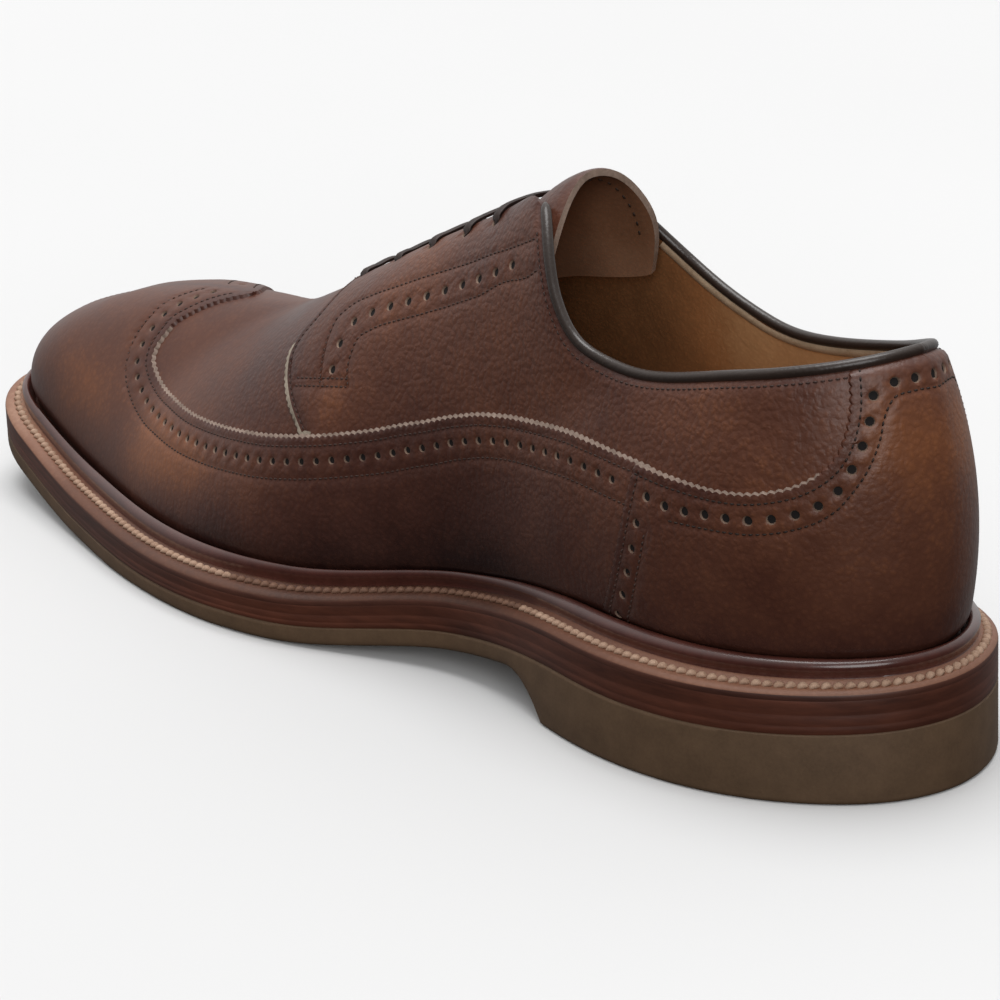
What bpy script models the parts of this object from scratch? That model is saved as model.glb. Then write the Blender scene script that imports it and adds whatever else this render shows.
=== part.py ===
"""Wingtip derby shoe for the right foot: a longwing brogue with open lacing on a storm welt and rubber sole.

The toe points along +X, the inner side of the foot faces +Y, and the shoe stands on z = 0. Sizes are in
millimetres. Sections are counted by a station number r, from 0 at the back of the heel to LAST at the tip
of the toe, on each side of the shoe.
"""
import bmesh
import bpy
import numpy as np

MM = 0.001
GAP = 0.3

# Driving sizes
LENGTH = 308.0
Y_MIDDLE = -3.5
WALL = 2.0
WELT_THICK = 3.2
WELT_TUCK = 3.0
RIB_HEIGHT = 4.6
RIB_THICK = 2.3
RIB_FLARE = 0.4
RIB_OUTER_SHOULDER = 3.4
RIB_INNER_SHOULDER = 3.7
INSOLE_RISE = 2.2
INSOLE_INSET = 0.5
STACK_HEEL = 10.6
STACK_FORE = 7.8
STACK_FROM = 60.0
STACK_TO = 180.0
RUBBER_FORE = 4.0
TREAD_SINK = 0.4
BREAST_EDGE = 87.0
BREAST_CURVE = 9.0
BREAST_RUN = 17.0
BINDING_RADIUS = 1.3
BINDING_END = 5.5
TONGUE_THICK = 2.0
TONGUE_START = 102.9
TONGUE_SWEEP = 4.6
TONGUE_BOW = 2.4
TONGUE_RINGS = 16
TONGUE_COLUMNS = 13
LACE_WIDE = 1.7
LACE_HIGH = 1.1
LACE_CROWN = 0.6
EYELET_REACH = 6.2
STATION_STEP = 42.0
LACE_STATIONS = (5.97, 6.22, 6.51, 6.83, 7.17)

# Sole edge and width of the welt at each station, for the inner and outer side of the foot
SOLE = (
    # x, edge_inner, edge_outer, welt_inner, welt_outer
    (0.0, 0.0, 0.0, 6.5, 6.5),
    (3.0, 12.6, 13.0, 7.0, 7.0),
    (12.0, 24.1, 25.0, 8.0, 8.0),
    (35.0, 37.0, 35.5, 9.3, 9.0),
    (75.0, 39.0, 37.5, 9.3, 9.0),
    (120.0, 31.5, 40.0, 6.5, 8.0),
    (165.0, 45.5, 47.0, 7.5, 8.0),
    (210.0, 46.6, 55.0, 8.0, 8.5),
    (250.0, 37.0, 51.0, 8.0, 8.0),
    (282.0, 28.0, 37.0, 7.8, 7.8),
    (300.0, 20.0, 21.0, 7.8, 7.8),
    (LENGTH, 3.0, 3.0, 7.8, 7.8),
)
LAST = len(SOLE) - 1

# Height of the welt's top along the shoe: heel, arch, tread and toe spring
WELT_TOP = (
    # x, height
    (0.0, 26.5),
    (40.0, 25.4),
    (75.0, 25.2),
    (120.0, 19.5),
    (165.0, 12.9),
    (210.0, 11.8),
    (250.0, 13.3),
    (285.0, 19.0),
    (LENGTH, 25.4),
)

# Top edge of the upper: collar, corner of the facing, facing down to the throat, then the ridge of the vamp
TOP_INNER = (
    # r, x, y, z
    (0.0, 9.0, 0.0, 91.2),
    (1.0, 10.5, 7.5, 91.0),
    (2.0, 16.5, 16.0, 89.8),
    (3.0, 36.0, 25.2, 86.0),
    (4.0, 66.0, 26.2, 80.2),
    (4.6, 81.5, 26.2, 82.4),
    (5.0, 90.2, 25.2, 90.6),
    (5.2, 94.8, 22.6, 98.0),
    (5.4, 100.0, 18.0, 105.8),
    (5.55, 104.8, 13.8, 109.6),
    (5.7, 110.0, 10.8, 107.4),
    (5.9, 117.5, 9.3, 103.2),
    (6.5, 143.0, 7.2, 90.7),
    (7.0, 163.5, 5.2, 80.5),
    (7.4, 180.0, 2.8, 72.8),
    (7.6, 188.0, 0.0, 69.2),
    (8.0, 203.5, 0.0, 62.6),
    (9.0, 236.0, 0.0, 59.2),
    (10.0, 256.0, 0.0, 55.4),
    (11.0, 263.0, 0.0, 53.2),
)
TOP_OUTER = (
    # r, x, y, z
    (0.0, 9.0, 0.0, 91.2),
    (1.0, 12.0, 7.0, 89.8),
    (2.0, 19.5, 14.5, 86.6),
    (3.0, 38.0, 23.2, 80.2),
    (4.0, 66.0, 25.7, 76.0),
    (4.6, 84.0, 25.7, 79.8),
    (5.0, 97.5, 25.2, 86.0),
    (5.2, 104.0, 23.2, 91.2),
    (5.4, 109.0, 18.5, 98.2),
    (5.55, 112.5, 13.8, 103.0),
    (5.7, 116.0, 10.8, 103.2),
    (5.9, 121.0, 9.3, 101.3),
    (6.5, 143.0, 7.2, 90.7),
    (7.0, 163.5, 5.2, 80.5),
    (7.4, 180.0, 2.8, 72.8),
    (7.6, 188.0, 0.0, 69.2),
    (8.0, 203.5, 0.0, 62.6),
    (9.0, 236.0, 0.0, 59.2),
    (10.0, 256.0, 0.0, 55.4),
    (11.0, 263.0, 0.0, 53.2),
)
# Fullness of each section: how far it leans out and rises at the sole, and reaches out and drops at the top
FULL_INNER = (
    # r, lean, rise, reach, drop
    (0.0, 5.5, 22.0, 8.5, 20.0),
    (2.0, 5.5, 22.0, 7.0, 20.0),
    (3.0, 5.0, 20.0, 6.5, 20.0),
    (4.0, 4.0, 20.0, 6.5, 18.0),
    (5.0, 7.5, 22.0, 10.0, 22.0),
    (6.0, 4.0, 24.0, 20.0, 13.0),
    (7.0, 3.0, 23.0, 23.0, 2.0),
    (8.0, 3.0, 22.0, 24.0, 0.0),
    (9.0, 5.0, 22.0, 24.0, 0.0),
    (10.0, 5.0, 18.0, 20.0, 0.0),
    (11.0, 5.0, 17.5, 19.0, 0.0),
)
FULL_OUTER = (
    # r, lean, rise, reach, drop
    (0.0, 5.5, 22.0, 8.5, 20.0),
    (2.0, 4.5, 22.0, 7.0, 20.0),
    (3.0, 4.5, 20.0, 6.5, 20.0),
    (4.0, 3.0, 20.0, 6.5, 18.0),
    (5.0, 2.0, 22.0, 12.0, 20.0),
    (6.0, 2.0, 22.0, 22.0, 13.0),
    (7.0, 2.0, 20.5, 28.0, 2.0),
    (8.0, 2.0, 19.0, 30.0, 0.0),
    (9.0, 3.5, 20.5, 29.0, 0.0),
    (10.0, 4.5, 18.0, 22.0, 0.0),
    (11.0, 5.0, 17.5, 19.0, 0.0),
)
# Stations where the sections turn from the collar's own lean to following the ridge
COLLAR_TURN = (3.5, 5.0)
RIDGE_TURN = (6.0, 7.4)

# Tongue from its top edge down to the vamp: middle line, half width and how far its edges curl down
TONGUE = (
    # x, z, half_width, curl
    (98.3, 112.2, 21.8, 27.4),
    (102.9, 111.9, 20.5, 27.0),
    (106.5, 110.5, 20.3, 26.8),
    (110.0, 108.4, 20.0, 25.6),
    (118.0, 102.4, 18.8, 20.9),
    (130.0, 95.4, 18.5, 16.0),
    (145.0, 87.8, 18.5, 13.0),
    (165.0, 77.6, 17.5, 8.5),
    (185.0, 67.3, 15.5, 6.0),
    (196.0, 62.2, 13.0, 4.0),
)

# Averaging that keeps the rows of a table from showing as creases
SOFT_SHIFTS = (-0.2, -0.1, 0.0, 0.1, 0.2)
SOFT_WEIGHTS = (0.1, 0.2, 0.4, 0.2, 0.1)


def limited_slopes(knots, values):
    """Slopes at the knots for a cubic that never swings past its rows."""
    step = np.diff(knots)[:, None]
    rise = np.diff(values, axis=0) / step
    before, after = rise[:-1], rise[1:]
    same = before * after > 0
    weight_before = 2 * step[1:] + step[:-1]
    weight_after = step[1:] + 2 * step[:-1]
    blend = weight_before / np.where(same, before, 1.0) + weight_after / np.where(same, after, 1.0)
    inner = np.where(same, (weight_before + weight_after) / blend, 0.0)
    return np.vstack([rise[:1], inner, rise[-1:]])


def periodic_slopes(knots, values):
    """Slopes at the knots for a smooth closed cubic; the last knot repeats the first."""
    count = len(knots) - 1
    step = np.diff(knots)
    rise = np.diff(values, axis=0) / step[:, None]
    matrix = np.zeros((count, count))
    right = np.zeros((count, values.shape[1]))
    for i in range(count):
        matrix[i, i - 1] += step[i]
        matrix[i, i] += 2 * (step[i - 1] + step[i])
        matrix[i, (i + 1) % count] += step[i - 1]
        right[i] = 3 * (step[i] * rise[i - 1] + step[i - 1] * rise[i])
    slopes = np.linalg.solve(matrix, right)
    return np.vstack([slopes, slopes[:1]])


def cubic(knots, values, slopes, at):
    """Values of the cubic through the knots with the given slopes."""
    i = np.clip(np.searchsorted(knots, at, side="right") - 1, 0, len(knots) - 2)
    step = (knots[i + 1] - knots[i])[:, None]
    t = (at - knots[i])[:, None] / step
    return (values[i] * (1 + 2 * t) * (1 - t) ** 2 + slopes[i] * step * t * (1 - t) ** 2
            + values[i + 1] * t * t * (3 - 2 * t) - slopes[i + 1] * step * t * t * (1 - t))


def table(rows, at):
    """The columns of a table after its first, read between its rows."""
    data = np.array(rows, float)
    return cubic(data[:, 0], data[:, 1:], limited_slopes(data[:, 0], data[:, 1:]), np.asarray(at, float))


def soft_table(rows, r, odd_column=None):
    """A table by station, averaged a little along r; the odd column changes sign across the heel's middle."""
    total = 0.0
    for shift, weight in zip(SOFT_SHIFTS, SOFT_WEIGHTS):
        place = r + shift
        values = table(rows, LAST - abs(LAST - abs(place)))
        if odd_column is not None:
            values[:, odd_column] *= np.where(place < 0, -1.0, 1.0)
        total = total + weight * values
    return total


def closed_loop(inner, outer):
    """Columns round the sole: the inner side from heel to toe, then the outer side back to the heel."""
    return np.vstack([inner, outer[-2::-1]])


sole_rows = np.array(SOLE)
EDGE_LOOP = closed_loop(sole_rows[:, :2], sole_rows[:, [0, 2]] * [1, -1])
WELT_LOOP = closed_loop(sole_rows[:, 3:4], sole_rows[:, 4:5])
LOOP_KNOTS = np.append(0, np.cumsum(np.linalg.norm(np.diff(EDGE_LOOP, axis=0), axis=1) ** 0.7))
EDGE_SLOPES = periodic_slopes(LOOP_KNOTS, EDGE_LOOP)
WELT_SLOPES = periodic_slopes(LOOP_KNOTS, WELT_LOOP)


def loop_place(r, side):
    """Distance round the sole of station r on the inner (+1) or outer (-1) side."""
    station = r if side > 0 else 2 * LAST - r
    return np.interp(station, np.arange(2 * LAST + 1), LOOP_KNOTS)


def sole_edge(r, side):
    """Points of the sole's edge and the outward direction there."""
    place = loop_place(r, side)
    nudge = 0.01
    behind, ahead = [cubic(LOOP_KNOTS, EDGE_LOOP, EDGE_SLOPES, np.mod(place + step, LOOP_KNOTS[-1]))
                     for step in (-nudge, nudge)]
    along = ahead - behind
    outward = np.stack([-along[:, 1], along[:, 0]], 1)
    outward /= np.linalg.norm(outward, axis=1)[:, None]
    return cubic(LOOP_KNOTS, EDGE_LOOP, EDGE_SLOPES, place), outward


def welt_width(r, side):
    return cubic(LOOP_KNOTS, WELT_LOOP, WELT_SLOPES, loop_place(r, side))


def welt_top(x):
    return table(WELT_TOP, np.clip(x, 0, LENGTH))[:, 0]


def stack(x):
    """Thickness of welt and midsole together."""
    return np.interp(x, (STACK_FROM, STACK_TO), (STACK_HEEL, STACK_FORE))


def ease(value, start, end):
    t = np.clip((value - start) / (end - start), 0, 1)
    return t * t * (3 - 2 * t)


def tread(x, y):
    """Underside of the outsole: flat heel, curved breast, arch, flat tread and toe spring."""
    arch = np.maximum(welt_top(x) - stack(x) - RUBBER_FORE - TREAD_SINK, 0)
    half = sole_rows[4, 1]
    breast = BREAST_EDGE - BREAST_CURVE * np.clip(1 - (y / half) ** 2, 0, 1)
    past = np.clip((x - breast) / BREAST_RUN, 0, 1)
    return arch * (1 - (1 - past) ** 2)


def feather(r, side):
    """Line where the upper meets the welt, with the outward direction."""
    edge, outward = sole_edge(r, side)
    line = edge - outward * welt_width(r, side)
    return np.column_stack([line, welt_top(line[:, 0]) + GAP]), outward


def section(r, side):
    """The four control points of the upper's section at each station."""
    top_rows, full_rows = (TOP_INNER, FULL_INNER) if side > 0 else (TOP_OUTER, FULL_OUTER)
    base, outward = feather(r, side)
    nudge = 0.01
    top = soft_table(top_rows, r, 1) * [1, side, 1]
    along = soft_table(top_rows, np.minimum(r + nudge, LAST), 1) - soft_table(top_rows, r - nudge, 1)
    slope = along[:, 2] / np.where(abs(along[:, 0]) < 1e-9, 1.0, along[:, 0])
    lean, rise, reach, drop = soft_table(full_rows, r).T
    low = base + np.column_stack([outward * lean[:, None], rise])
    fan = base[:, :2] - top[:, :2]
    fan /= np.linalg.norm(fan, axis=1)[:, None]
    turn = ease(r, *COLLAR_TURN)[:, None]
    way = outward * (1 - turn) + fan * turn
    way *= (reach / np.linalg.norm(way, axis=1))[:, None]
    high = top + np.column_stack([way, ease(r, *RIDGE_TURN) * slope * way[:, 0] - drop])
    return base, low, high, top


def upper_points(r, w, side):
    """Points of the upper's outside: w runs from 0 at the welt to 1 at the top edge."""
    base, low, high, top = section(r, side)
    w = np.broadcast_to(w, r.shape)[:, None]
    v = 1 - w
    return base * v ** 3 + 3 * low * v * v * w + 3 * high * v * w * w + top * w ** 3


def upper_normals(r, w, side):
    """Outward directions of the upper's outside."""
    nudge = 0.01
    w = np.broadcast_to(w, r.shape)
    w_low, w_high = np.clip(w - nudge, 0, 1), np.clip(w + nudge, 0, 1)
    r_low, r_high = np.clip(r - nudge, 0, LAST), np.clip(r + nudge, 0, LAST)
    up = upper_points(r, w_high, side) - upper_points(r, w_low, side)
    along = upper_points(r_high, w, side) - upper_points(r_low, w, side)
    normal = np.cross(up, along) * side
    return normal / np.linalg.norm(normal, axis=1)[:, None]


def new_object(name, mesh, material):
    part = bpy.data.objects.new(name, mesh)
    part.data.materials.append(material)
    mesh.shade_smooth()
    mesh.set_sharp_from_angle(angle=np.radians(35))
    parts.objects.link(part)
    return part


def mesh_from_grid(name, rings, ring_closed, rows_closed, capped=False):
    """A mesh from rings of points, joined ring to ring, welded where points meet, faces turned outward."""
    rings = (np.asarray(rings) - [LENGTH / 2, Y_MIDDLE, 0]) * MM
    count, width = rings.shape[:2]
    bm = bmesh.new()
    verts = [[bm.verts.new(point) for point in ring] for ring in rings]
    for i in range(count if rows_closed else count - 1):
        here, there = verts[i], verts[(i + 1) % count]
        for j in range(width if ring_closed else width - 1):
            k = (j + 1) % width
            bm.faces.new((here[j], here[k], there[k], there[j]))
    if capped:
        bm.faces.new(verts[0])
        bm.faces.new(verts[-1])
    bmesh.ops.remove_doubles(bm, verts=bm.verts, dist=0.01 * MM)
    bmesh.ops.dissolve_degenerate(bm, edges=bm.edges, dist=0.01 * MM)
    bmesh.ops.recalc_face_normals(bm, faces=bm.faces)
    mesh = bpy.data.meshes.new(name)
    bm.to_mesh(mesh)
    bm.free()
    return mesh


def layer(name, material, r, inset, top, bottom, columns):
    """A sole layer: strips across the shoe between a top and a bottom height, both functions of x and y."""
    across = np.linspace(0, 1, columns + 1)[:, None]
    rings = []
    sides = []
    for side in (1, -1):
        edge, outward = sole_edge(r, side)
        sides.append(edge - outward * inset(r, side))
    for inner, outer in zip(*sides):
        strip = inner * (1 - across) + outer * across
        upper_side = np.column_stack([strip, top(*strip.T)])
        lower_side = np.column_stack([strip, bottom(*strip.T)])
        rings.append(np.vstack([upper_side, lower_side[::-1]]))
    return new_object(name, mesh_from_grid(name, rings, True, False), material)


def make_outsole(material):
    rows = np.unique(np.round(np.concatenate([np.arange(0, LAST + 0.1, 0.2), np.arange(4.1, 4.9, 0.05)]), 3))
    return layer("outsole", material, rows, lambda r, side: 0.0,
                 lambda x, y: welt_top(x) - stack(x) - GAP, tread, 6)


def make_midsole(material):
    rows = np.arange(0, LAST + 0.1, 0.2)
    return layer("midsole", material, rows, lambda r, side: 0.0,
                 lambda x, y: welt_top(x) - WELT_THICK - GAP, lambda x, y: welt_top(x) - stack(x), 2)


def make_insole(material):
    rows = np.arange(0, LAST + 0.1, 0.2)
    return layer("insole", material, rows, lambda r, side: welt_width(r, side) + WELT_TUCK + INSOLE_INSET,
                 lambda x, y: welt_top(x) + INSOLE_RISE, lambda x, y: welt_top(x) - WELT_THICK, 2)


def make_welt(material):
    """A strip all round the sole with a raised rib that leans with the upper."""
    rings = []
    for side in (1, -1):
        r = np.arange(0, LAST + 0.1, 0.2)
        base, outward = feather(r, side)
        width = welt_width(r, side)[:, 0]
        w = RIB_HEIGHT / (3 * soft_table(FULL_INNER if side > 0 else FULL_OUTER, r)[:, 1])
        lean = np.einsum("ij,ij->i", (upper_points(r, w, side) - base)[:, :2], outward)
        foot = np.full(len(r), GAP)
        tuck = np.full(len(r), -WELT_TUCK)
        head = np.maximum(lean, 0) + 2 * GAP
        profile = (
            (width, -WELT_THICK),
            (width, 0.0),
            (foot + RIB_THICK + RIB_FLARE, 0.0),
            (head + RIB_THICK, RIB_OUTER_SHOULDER),
            (head + RIB_THICK / 2, RIB_HEIGHT),
            (head, RIB_INNER_SHOULDER),
            (foot, 0.0),
            (tuck, 0.0),
            (tuck, -WELT_THICK),
        )
        loop = []
        for out, up in profile:
            xy = base[:, :2] + outward * out[:, None]
            loop.append(np.column_stack([xy, welt_top(xy[:, 0]) + up]))
        rows = np.stack(loop, 1)
        rings.extend(rows if side > 0 else rows[-2:0:-1])
    return new_object("welt", mesh_from_grid("welt", rings, True, True), material)


def make_upper(material):
    """The upper as an open skin over the last, thickened inward to its wall."""
    r = np.unique(np.round(np.concatenate([np.arange(0, LAST + 0.1, 0.2), np.arange(4.8, 6.0, 0.1)]), 3))
    w = np.linspace(0, 1, 11)
    columns = []
    for side in (1, -1):
        points = np.stack([upper_points(r, step, side) for step in w], 1)
        columns.extend(points if side > 0 else points[-2:0:-1])
    part = new_object("upper", mesh_from_grid("upper", columns, False, True), material)
    wall = part.modifiers.new("wall", "SOLIDIFY")
    wall.thickness = WALL * MM
    wall.offset = -1.0
    wall.use_even_offset = True
    return part


def sweep(name, material, centres, across, up, wide, high, sides):
    """A cord of oval section along the centres."""
    angle = np.arange(sides) * 2 * np.pi / sides
    rings = [c + np.outer(np.cos(angle) * wide, a) + np.outer(np.sin(angle) * high, u)
             for c, a, u in zip(centres, across, up)]
    return new_object(name, mesh_from_grid(name, rings, True, False, True), material)


def unit(vectors):
    return vectors / np.linalg.norm(vectors, axis=1)[:, None]


def make_binding(material):
    """The rolled edge along the collar, lying on the rim of the wall."""
    r = np.linspace(0, BINDING_END, 45)
    centres, outs, ups = [], [], []
    for side in (1, -1):
        top = upper_points(r, 1.0, side)
        normal = upper_normals(r, 1.0, side)
        rise = unit(top - upper_points(r, 0.97, side))
        centre = top - normal * WALL / 2 + rise * (BINDING_RADIUS + GAP)
        order = slice(None, None, -1) if side > 0 else slice(1, None)
        centres.append(centre[order])
        outs.append(normal[order])
        ups.append(rise[order])
    return sweep("collar_binding", material, np.vstack(centres), np.vstack(outs), np.vstack(ups),
                 BINDING_RADIUS, BINDING_RADIUS, 6)


def make_tongue(material):
    """The tongue, with its top edge swept back toward both sides."""
    across = np.linspace(-1, 1, TONGUE_COLUMNS)
    start = TONGUE_START - TONGUE_SWEEP * abs(across)
    along = np.linspace(0, 1, TONGUE_RINGS)[:, None]
    x = start * (1 - along) + TONGUE[-1][0] * along
    height, half, curl = [column.reshape(x.shape) for column in table(TONGUE, x.ravel()).T]
    slope = np.gradient(height, axis=0) / np.gradient(x, axis=0)
    up = np.stack([-slope, np.zeros_like(slope), np.ones_like(slope)], -1) / np.hypot(slope, 1)[..., None]
    skin = np.stack([x, across * half, height - curl * abs(across) ** TONGUE_BOW], -1)
    rings = [np.vstack([top, (top - lift * TONGUE_THICK)[::-1]]) for top, lift in zip(skin, up)]
    return new_object("tongue", mesh_from_grid("tongue", rings, True, False, True), material)


def make_lace_bar(number, station, material):
    """One bar of the lace, straight across from eyelet to eyelet over both facings."""
    lift = LACE_HIGH + GAP
    steps = np.linspace(EYELET_REACH, 0, 4)
    halves = []
    for side in (1, -1):
        r = np.full(len(steps), station)
        edge = upper_points(r, 1.0, side)
        tenth = np.linalg.norm(upper_points(r, 0.9, side) - edge, axis=1)
        w = 1 - 0.1 * steps / tenth
        for _ in range(3):
            r = r - (upper_points(r, w, side) - edge)[:, 0] / STATION_STEP
        halves.append(upper_points(r, w, side) + upper_normals(r, w, side) * lift)
    crown = (halves[0][-1:] + halves[1][-1:]) / 2 + [0, 0, LACE_CROWN]
    centres = np.vstack([halves[0], crown, halves[1][::-1]])
    along = unit(np.gradient(centres, axis=0))
    forward = unit(np.cross(along, [0, 0, 1.0]))
    up = np.cross(forward, along)
    return sweep(f"lace_bar_{number}", material, centres, forward, up, LACE_WIDE, LACE_HIGH, 8)


def material(name, colour, roughness):
    made = bpy.data.materials.new(name)
    made.use_nodes = True
    shader = made.node_tree.nodes["Principled BSDF"]
    shader.inputs["Base Color"].default_value = (*colour, 1.0)
    shader.inputs["Roughness"].default_value = roughness
    shader.inputs["Metallic"].default_value = 0.0
    return made


for old in list(bpy.data.objects):
    bpy.data.objects.remove(old, do_unlink=True)
parts = bpy.data.collections.new("wingtip_derby")
bpy.context.scene.collection.children.link(parts)

make_outsole(material("rubber", (0.045, 0.033, 0.02), 0.6))
make_midsole(material("midsole_leather", (0.05, 0.022, 0.014), 0.45))
make_welt(material("welt_leather", (0.12, 0.05, 0.025), 0.45))
make_insole(material("insole_leather", (0.3, 0.17, 0.08), 0.6))
make_upper(material("upper_leather", (0.12, 0.045, 0.025), 0.45))
make_tongue(material("tongue_leather", (0.12, 0.05, 0.03), 0.5))
make_binding(material("binding_leather", (0.02, 0.017, 0.015), 0.4))
lace = material("lace_cotton", (0.03, 0.02, 0.015), 0.7)
for number, station in enumerate(LACE_STATIONS, 1):
    make_lace_bar(number, station, lace)
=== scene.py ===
"""Looks of the wingtip derby shoe: leather panels, punched holes, stitching, welt, sole, lining and laces.

The toe points along +X and the inner side of the right foot faces +Y. Form sizes are in millimetres, counted
from the back of the heel, and are moved into the part's frame when a mesh is made.
"""

import bpy
import numpy as np
from mathutils import Matrix, Vector
from mathutils.geometry import delaunay_2d_cdt
from mathutils.kdtree import KDTree


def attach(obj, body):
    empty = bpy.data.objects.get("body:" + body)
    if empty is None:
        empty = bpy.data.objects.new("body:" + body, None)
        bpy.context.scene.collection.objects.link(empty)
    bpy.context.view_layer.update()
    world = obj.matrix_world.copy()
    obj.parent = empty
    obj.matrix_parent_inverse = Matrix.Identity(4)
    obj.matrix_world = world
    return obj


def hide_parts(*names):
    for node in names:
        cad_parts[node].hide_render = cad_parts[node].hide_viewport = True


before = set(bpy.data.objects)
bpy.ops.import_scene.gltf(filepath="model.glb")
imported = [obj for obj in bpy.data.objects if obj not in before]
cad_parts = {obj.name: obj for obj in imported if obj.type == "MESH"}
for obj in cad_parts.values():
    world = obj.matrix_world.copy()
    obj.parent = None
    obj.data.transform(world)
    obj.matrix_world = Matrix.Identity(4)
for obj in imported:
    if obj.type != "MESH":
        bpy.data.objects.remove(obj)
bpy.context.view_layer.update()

MM = 0.001
GAP = 0.3
LENGTH = 308.0
Y_MIDDLE = -3.5
WALL = 2.0
WELT_THICK = 3.2
RIB_HEIGHT = 4.6
INSOLE_RISE = 2.2
STACK_HEEL = 10.6
STACK_FORE = 7.8
STACK_FROM = 60.0
STACK_TO = 180.0
RUBBER_FORE = 4.0
TREAD_SINK = 0.4
BREAST_EDGE = 87.0
BREAST_CURVE = 9.0
BREAST_RUN = 17.0
BINDING_END = 5.5
EYELET_REACH = 6.2
STATION_STEP = 42.0
LACE_STATIONS = (5.97, 6.22, 6.51, 6.83, 7.17)

# Sole edge and width of the welt at each station, for the inner and outer side of the foot
SOLE = (
    # x, edge_inner, edge_outer, welt_inner, welt_outer
    (0.0, 0.0, 0.0, 6.5, 6.5),
    (3.0, 12.6, 13.0, 7.0, 7.0),
    (12.0, 24.1, 25.0, 8.0, 8.0),
    (35.0, 37.0, 35.5, 9.3, 9.0),
    (75.0, 39.0, 37.5, 9.3, 9.0),
    (120.0, 31.5, 40.0, 6.5, 8.0),
    (165.0, 45.5, 47.0, 7.5, 8.0),
    (210.0, 46.6, 55.0, 8.0, 8.5),
    (250.0, 37.0, 51.0, 8.0, 8.0),
    (282.0, 28.0, 37.0, 7.8, 7.8),
    (300.0, 20.0, 21.0, 7.8, 7.8),
    (LENGTH, 3.0, 3.0, 7.8, 7.8),
)
LAST = len(SOLE) - 1
ROUND = 2 * LAST

WELT_TOP = (
    # x, height
    (0.0, 26.5),
    (40.0, 25.4),
    (75.0, 25.2),
    (120.0, 19.5),
    (165.0, 12.9),
    (210.0, 11.8),
    (250.0, 13.3),
    (285.0, 19.0),
    (LENGTH, 25.4),
)

# Top edge of the upper: collar, corner of the facing, facing down to the throat, then the ridge of the vamp
RIDGE = (
    # r, x, y, z
    (6.5, 143.0, 7.2, 90.7),
    (7.0, 163.5, 5.2, 80.5),
    (7.4, 180.0, 2.8, 72.8),
    (7.6, 188.0, 0.0, 69.2),
    (8.0, 203.5, 0.0, 62.6),
    (9.0, 236.0, 0.0, 59.2),
    (10.0, 256.0, 0.0, 55.4),
    (11.0, 263.0, 0.0, 53.2),
)
TOP_INNER = (
    # r, x, y, z
    (0.0, 9.0, 0.0, 91.2),
    (1.0, 10.5, 7.5, 91.0),
    (2.0, 16.5, 16.0, 89.8),
    (3.0, 36.0, 25.2, 86.0),
    (4.0, 66.0, 26.2, 80.2),
    (4.6, 81.5, 26.2, 82.4),
    (5.0, 90.2, 25.2, 90.6),
    (5.2, 94.8, 22.6, 98.0),
    (5.4, 100.0, 18.0, 105.8),
    (5.55, 104.8, 13.8, 109.6),
    (5.7, 110.0, 10.8, 107.4),
    (5.9, 117.5, 9.3, 103.2),
) + RIDGE
TOP_OUTER = (
    # r, x, y, z
    (0.0, 9.0, 0.0, 91.2),
    (1.0, 12.0, 7.0, 89.8),
    (2.0, 19.5, 14.5, 86.6),
    (3.0, 38.0, 23.2, 80.2),
    (4.0, 66.0, 25.7, 76.0),
    (4.6, 84.0, 25.7, 79.8),
    (5.0, 97.5, 25.2, 86.0),
    (5.2, 104.0, 23.2, 91.2),
    (5.4, 109.0, 18.5, 98.2),
    (5.55, 112.5, 13.8, 103.0),
    (5.7, 116.0, 10.8, 103.2),
    (5.9, 121.0, 9.3, 101.3),
) + RIDGE
# Fullness of each section: how far it leans out and rises at the sole, and reaches out and drops at the top
FULL_INNER = (
    # r, lean, rise, reach, drop
    (0.0, 5.5, 22.0, 8.5, 20.0),
    (2.0, 5.5, 22.0, 7.0, 20.0),
    (3.0, 5.0, 20.0, 6.5, 20.0),
    (4.0, 4.0, 20.0, 6.5, 18.0),
    (5.0, 7.5, 22.0, 10.0, 22.0),
    (6.0, 4.0, 24.0, 20.0, 13.0),
    (7.0, 3.0, 23.0, 23.0, 2.0),
    (8.0, 3.0, 22.0, 24.0, 0.0),
    (9.0, 5.0, 22.0, 24.0, 0.0),
    (10.0, 5.0, 18.0, 20.0, 0.0),
    (11.0, 5.0, 17.5, 19.0, 0.0),
)
FULL_OUTER = (
    # r, lean, rise, reach, drop
    (0.0, 5.5, 22.0, 8.5, 20.0),
    (2.0, 4.5, 22.0, 7.0, 20.0),
    (3.0, 4.5, 20.0, 6.5, 20.0),
    (4.0, 3.0, 20.0, 6.5, 18.0),
    (5.0, 2.0, 22.0, 12.0, 20.0),
    (6.0, 2.0, 22.0, 22.0, 13.0),
    (7.0, 2.0, 20.5, 28.0, 2.0),
    (8.0, 2.0, 19.0, 30.0, 0.0),
    (9.0, 3.5, 20.5, 29.0, 0.0),
    (10.0, 4.5, 18.0, 22.0, 0.0),
    (11.0, 5.0, 17.5, 19.0, 0.0),
)
COLLAR_TURN = (3.5, 5.0)
RIDGE_TURN = (6.0, 7.4)
RIDGE_START = 7.6
SOFT_SHIFTS = (-0.2, -0.1, 0.0, 0.1, 0.2)
SOFT_WEIGHTS = (0.1, 0.2, 0.4, 0.2, 0.1)

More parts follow.
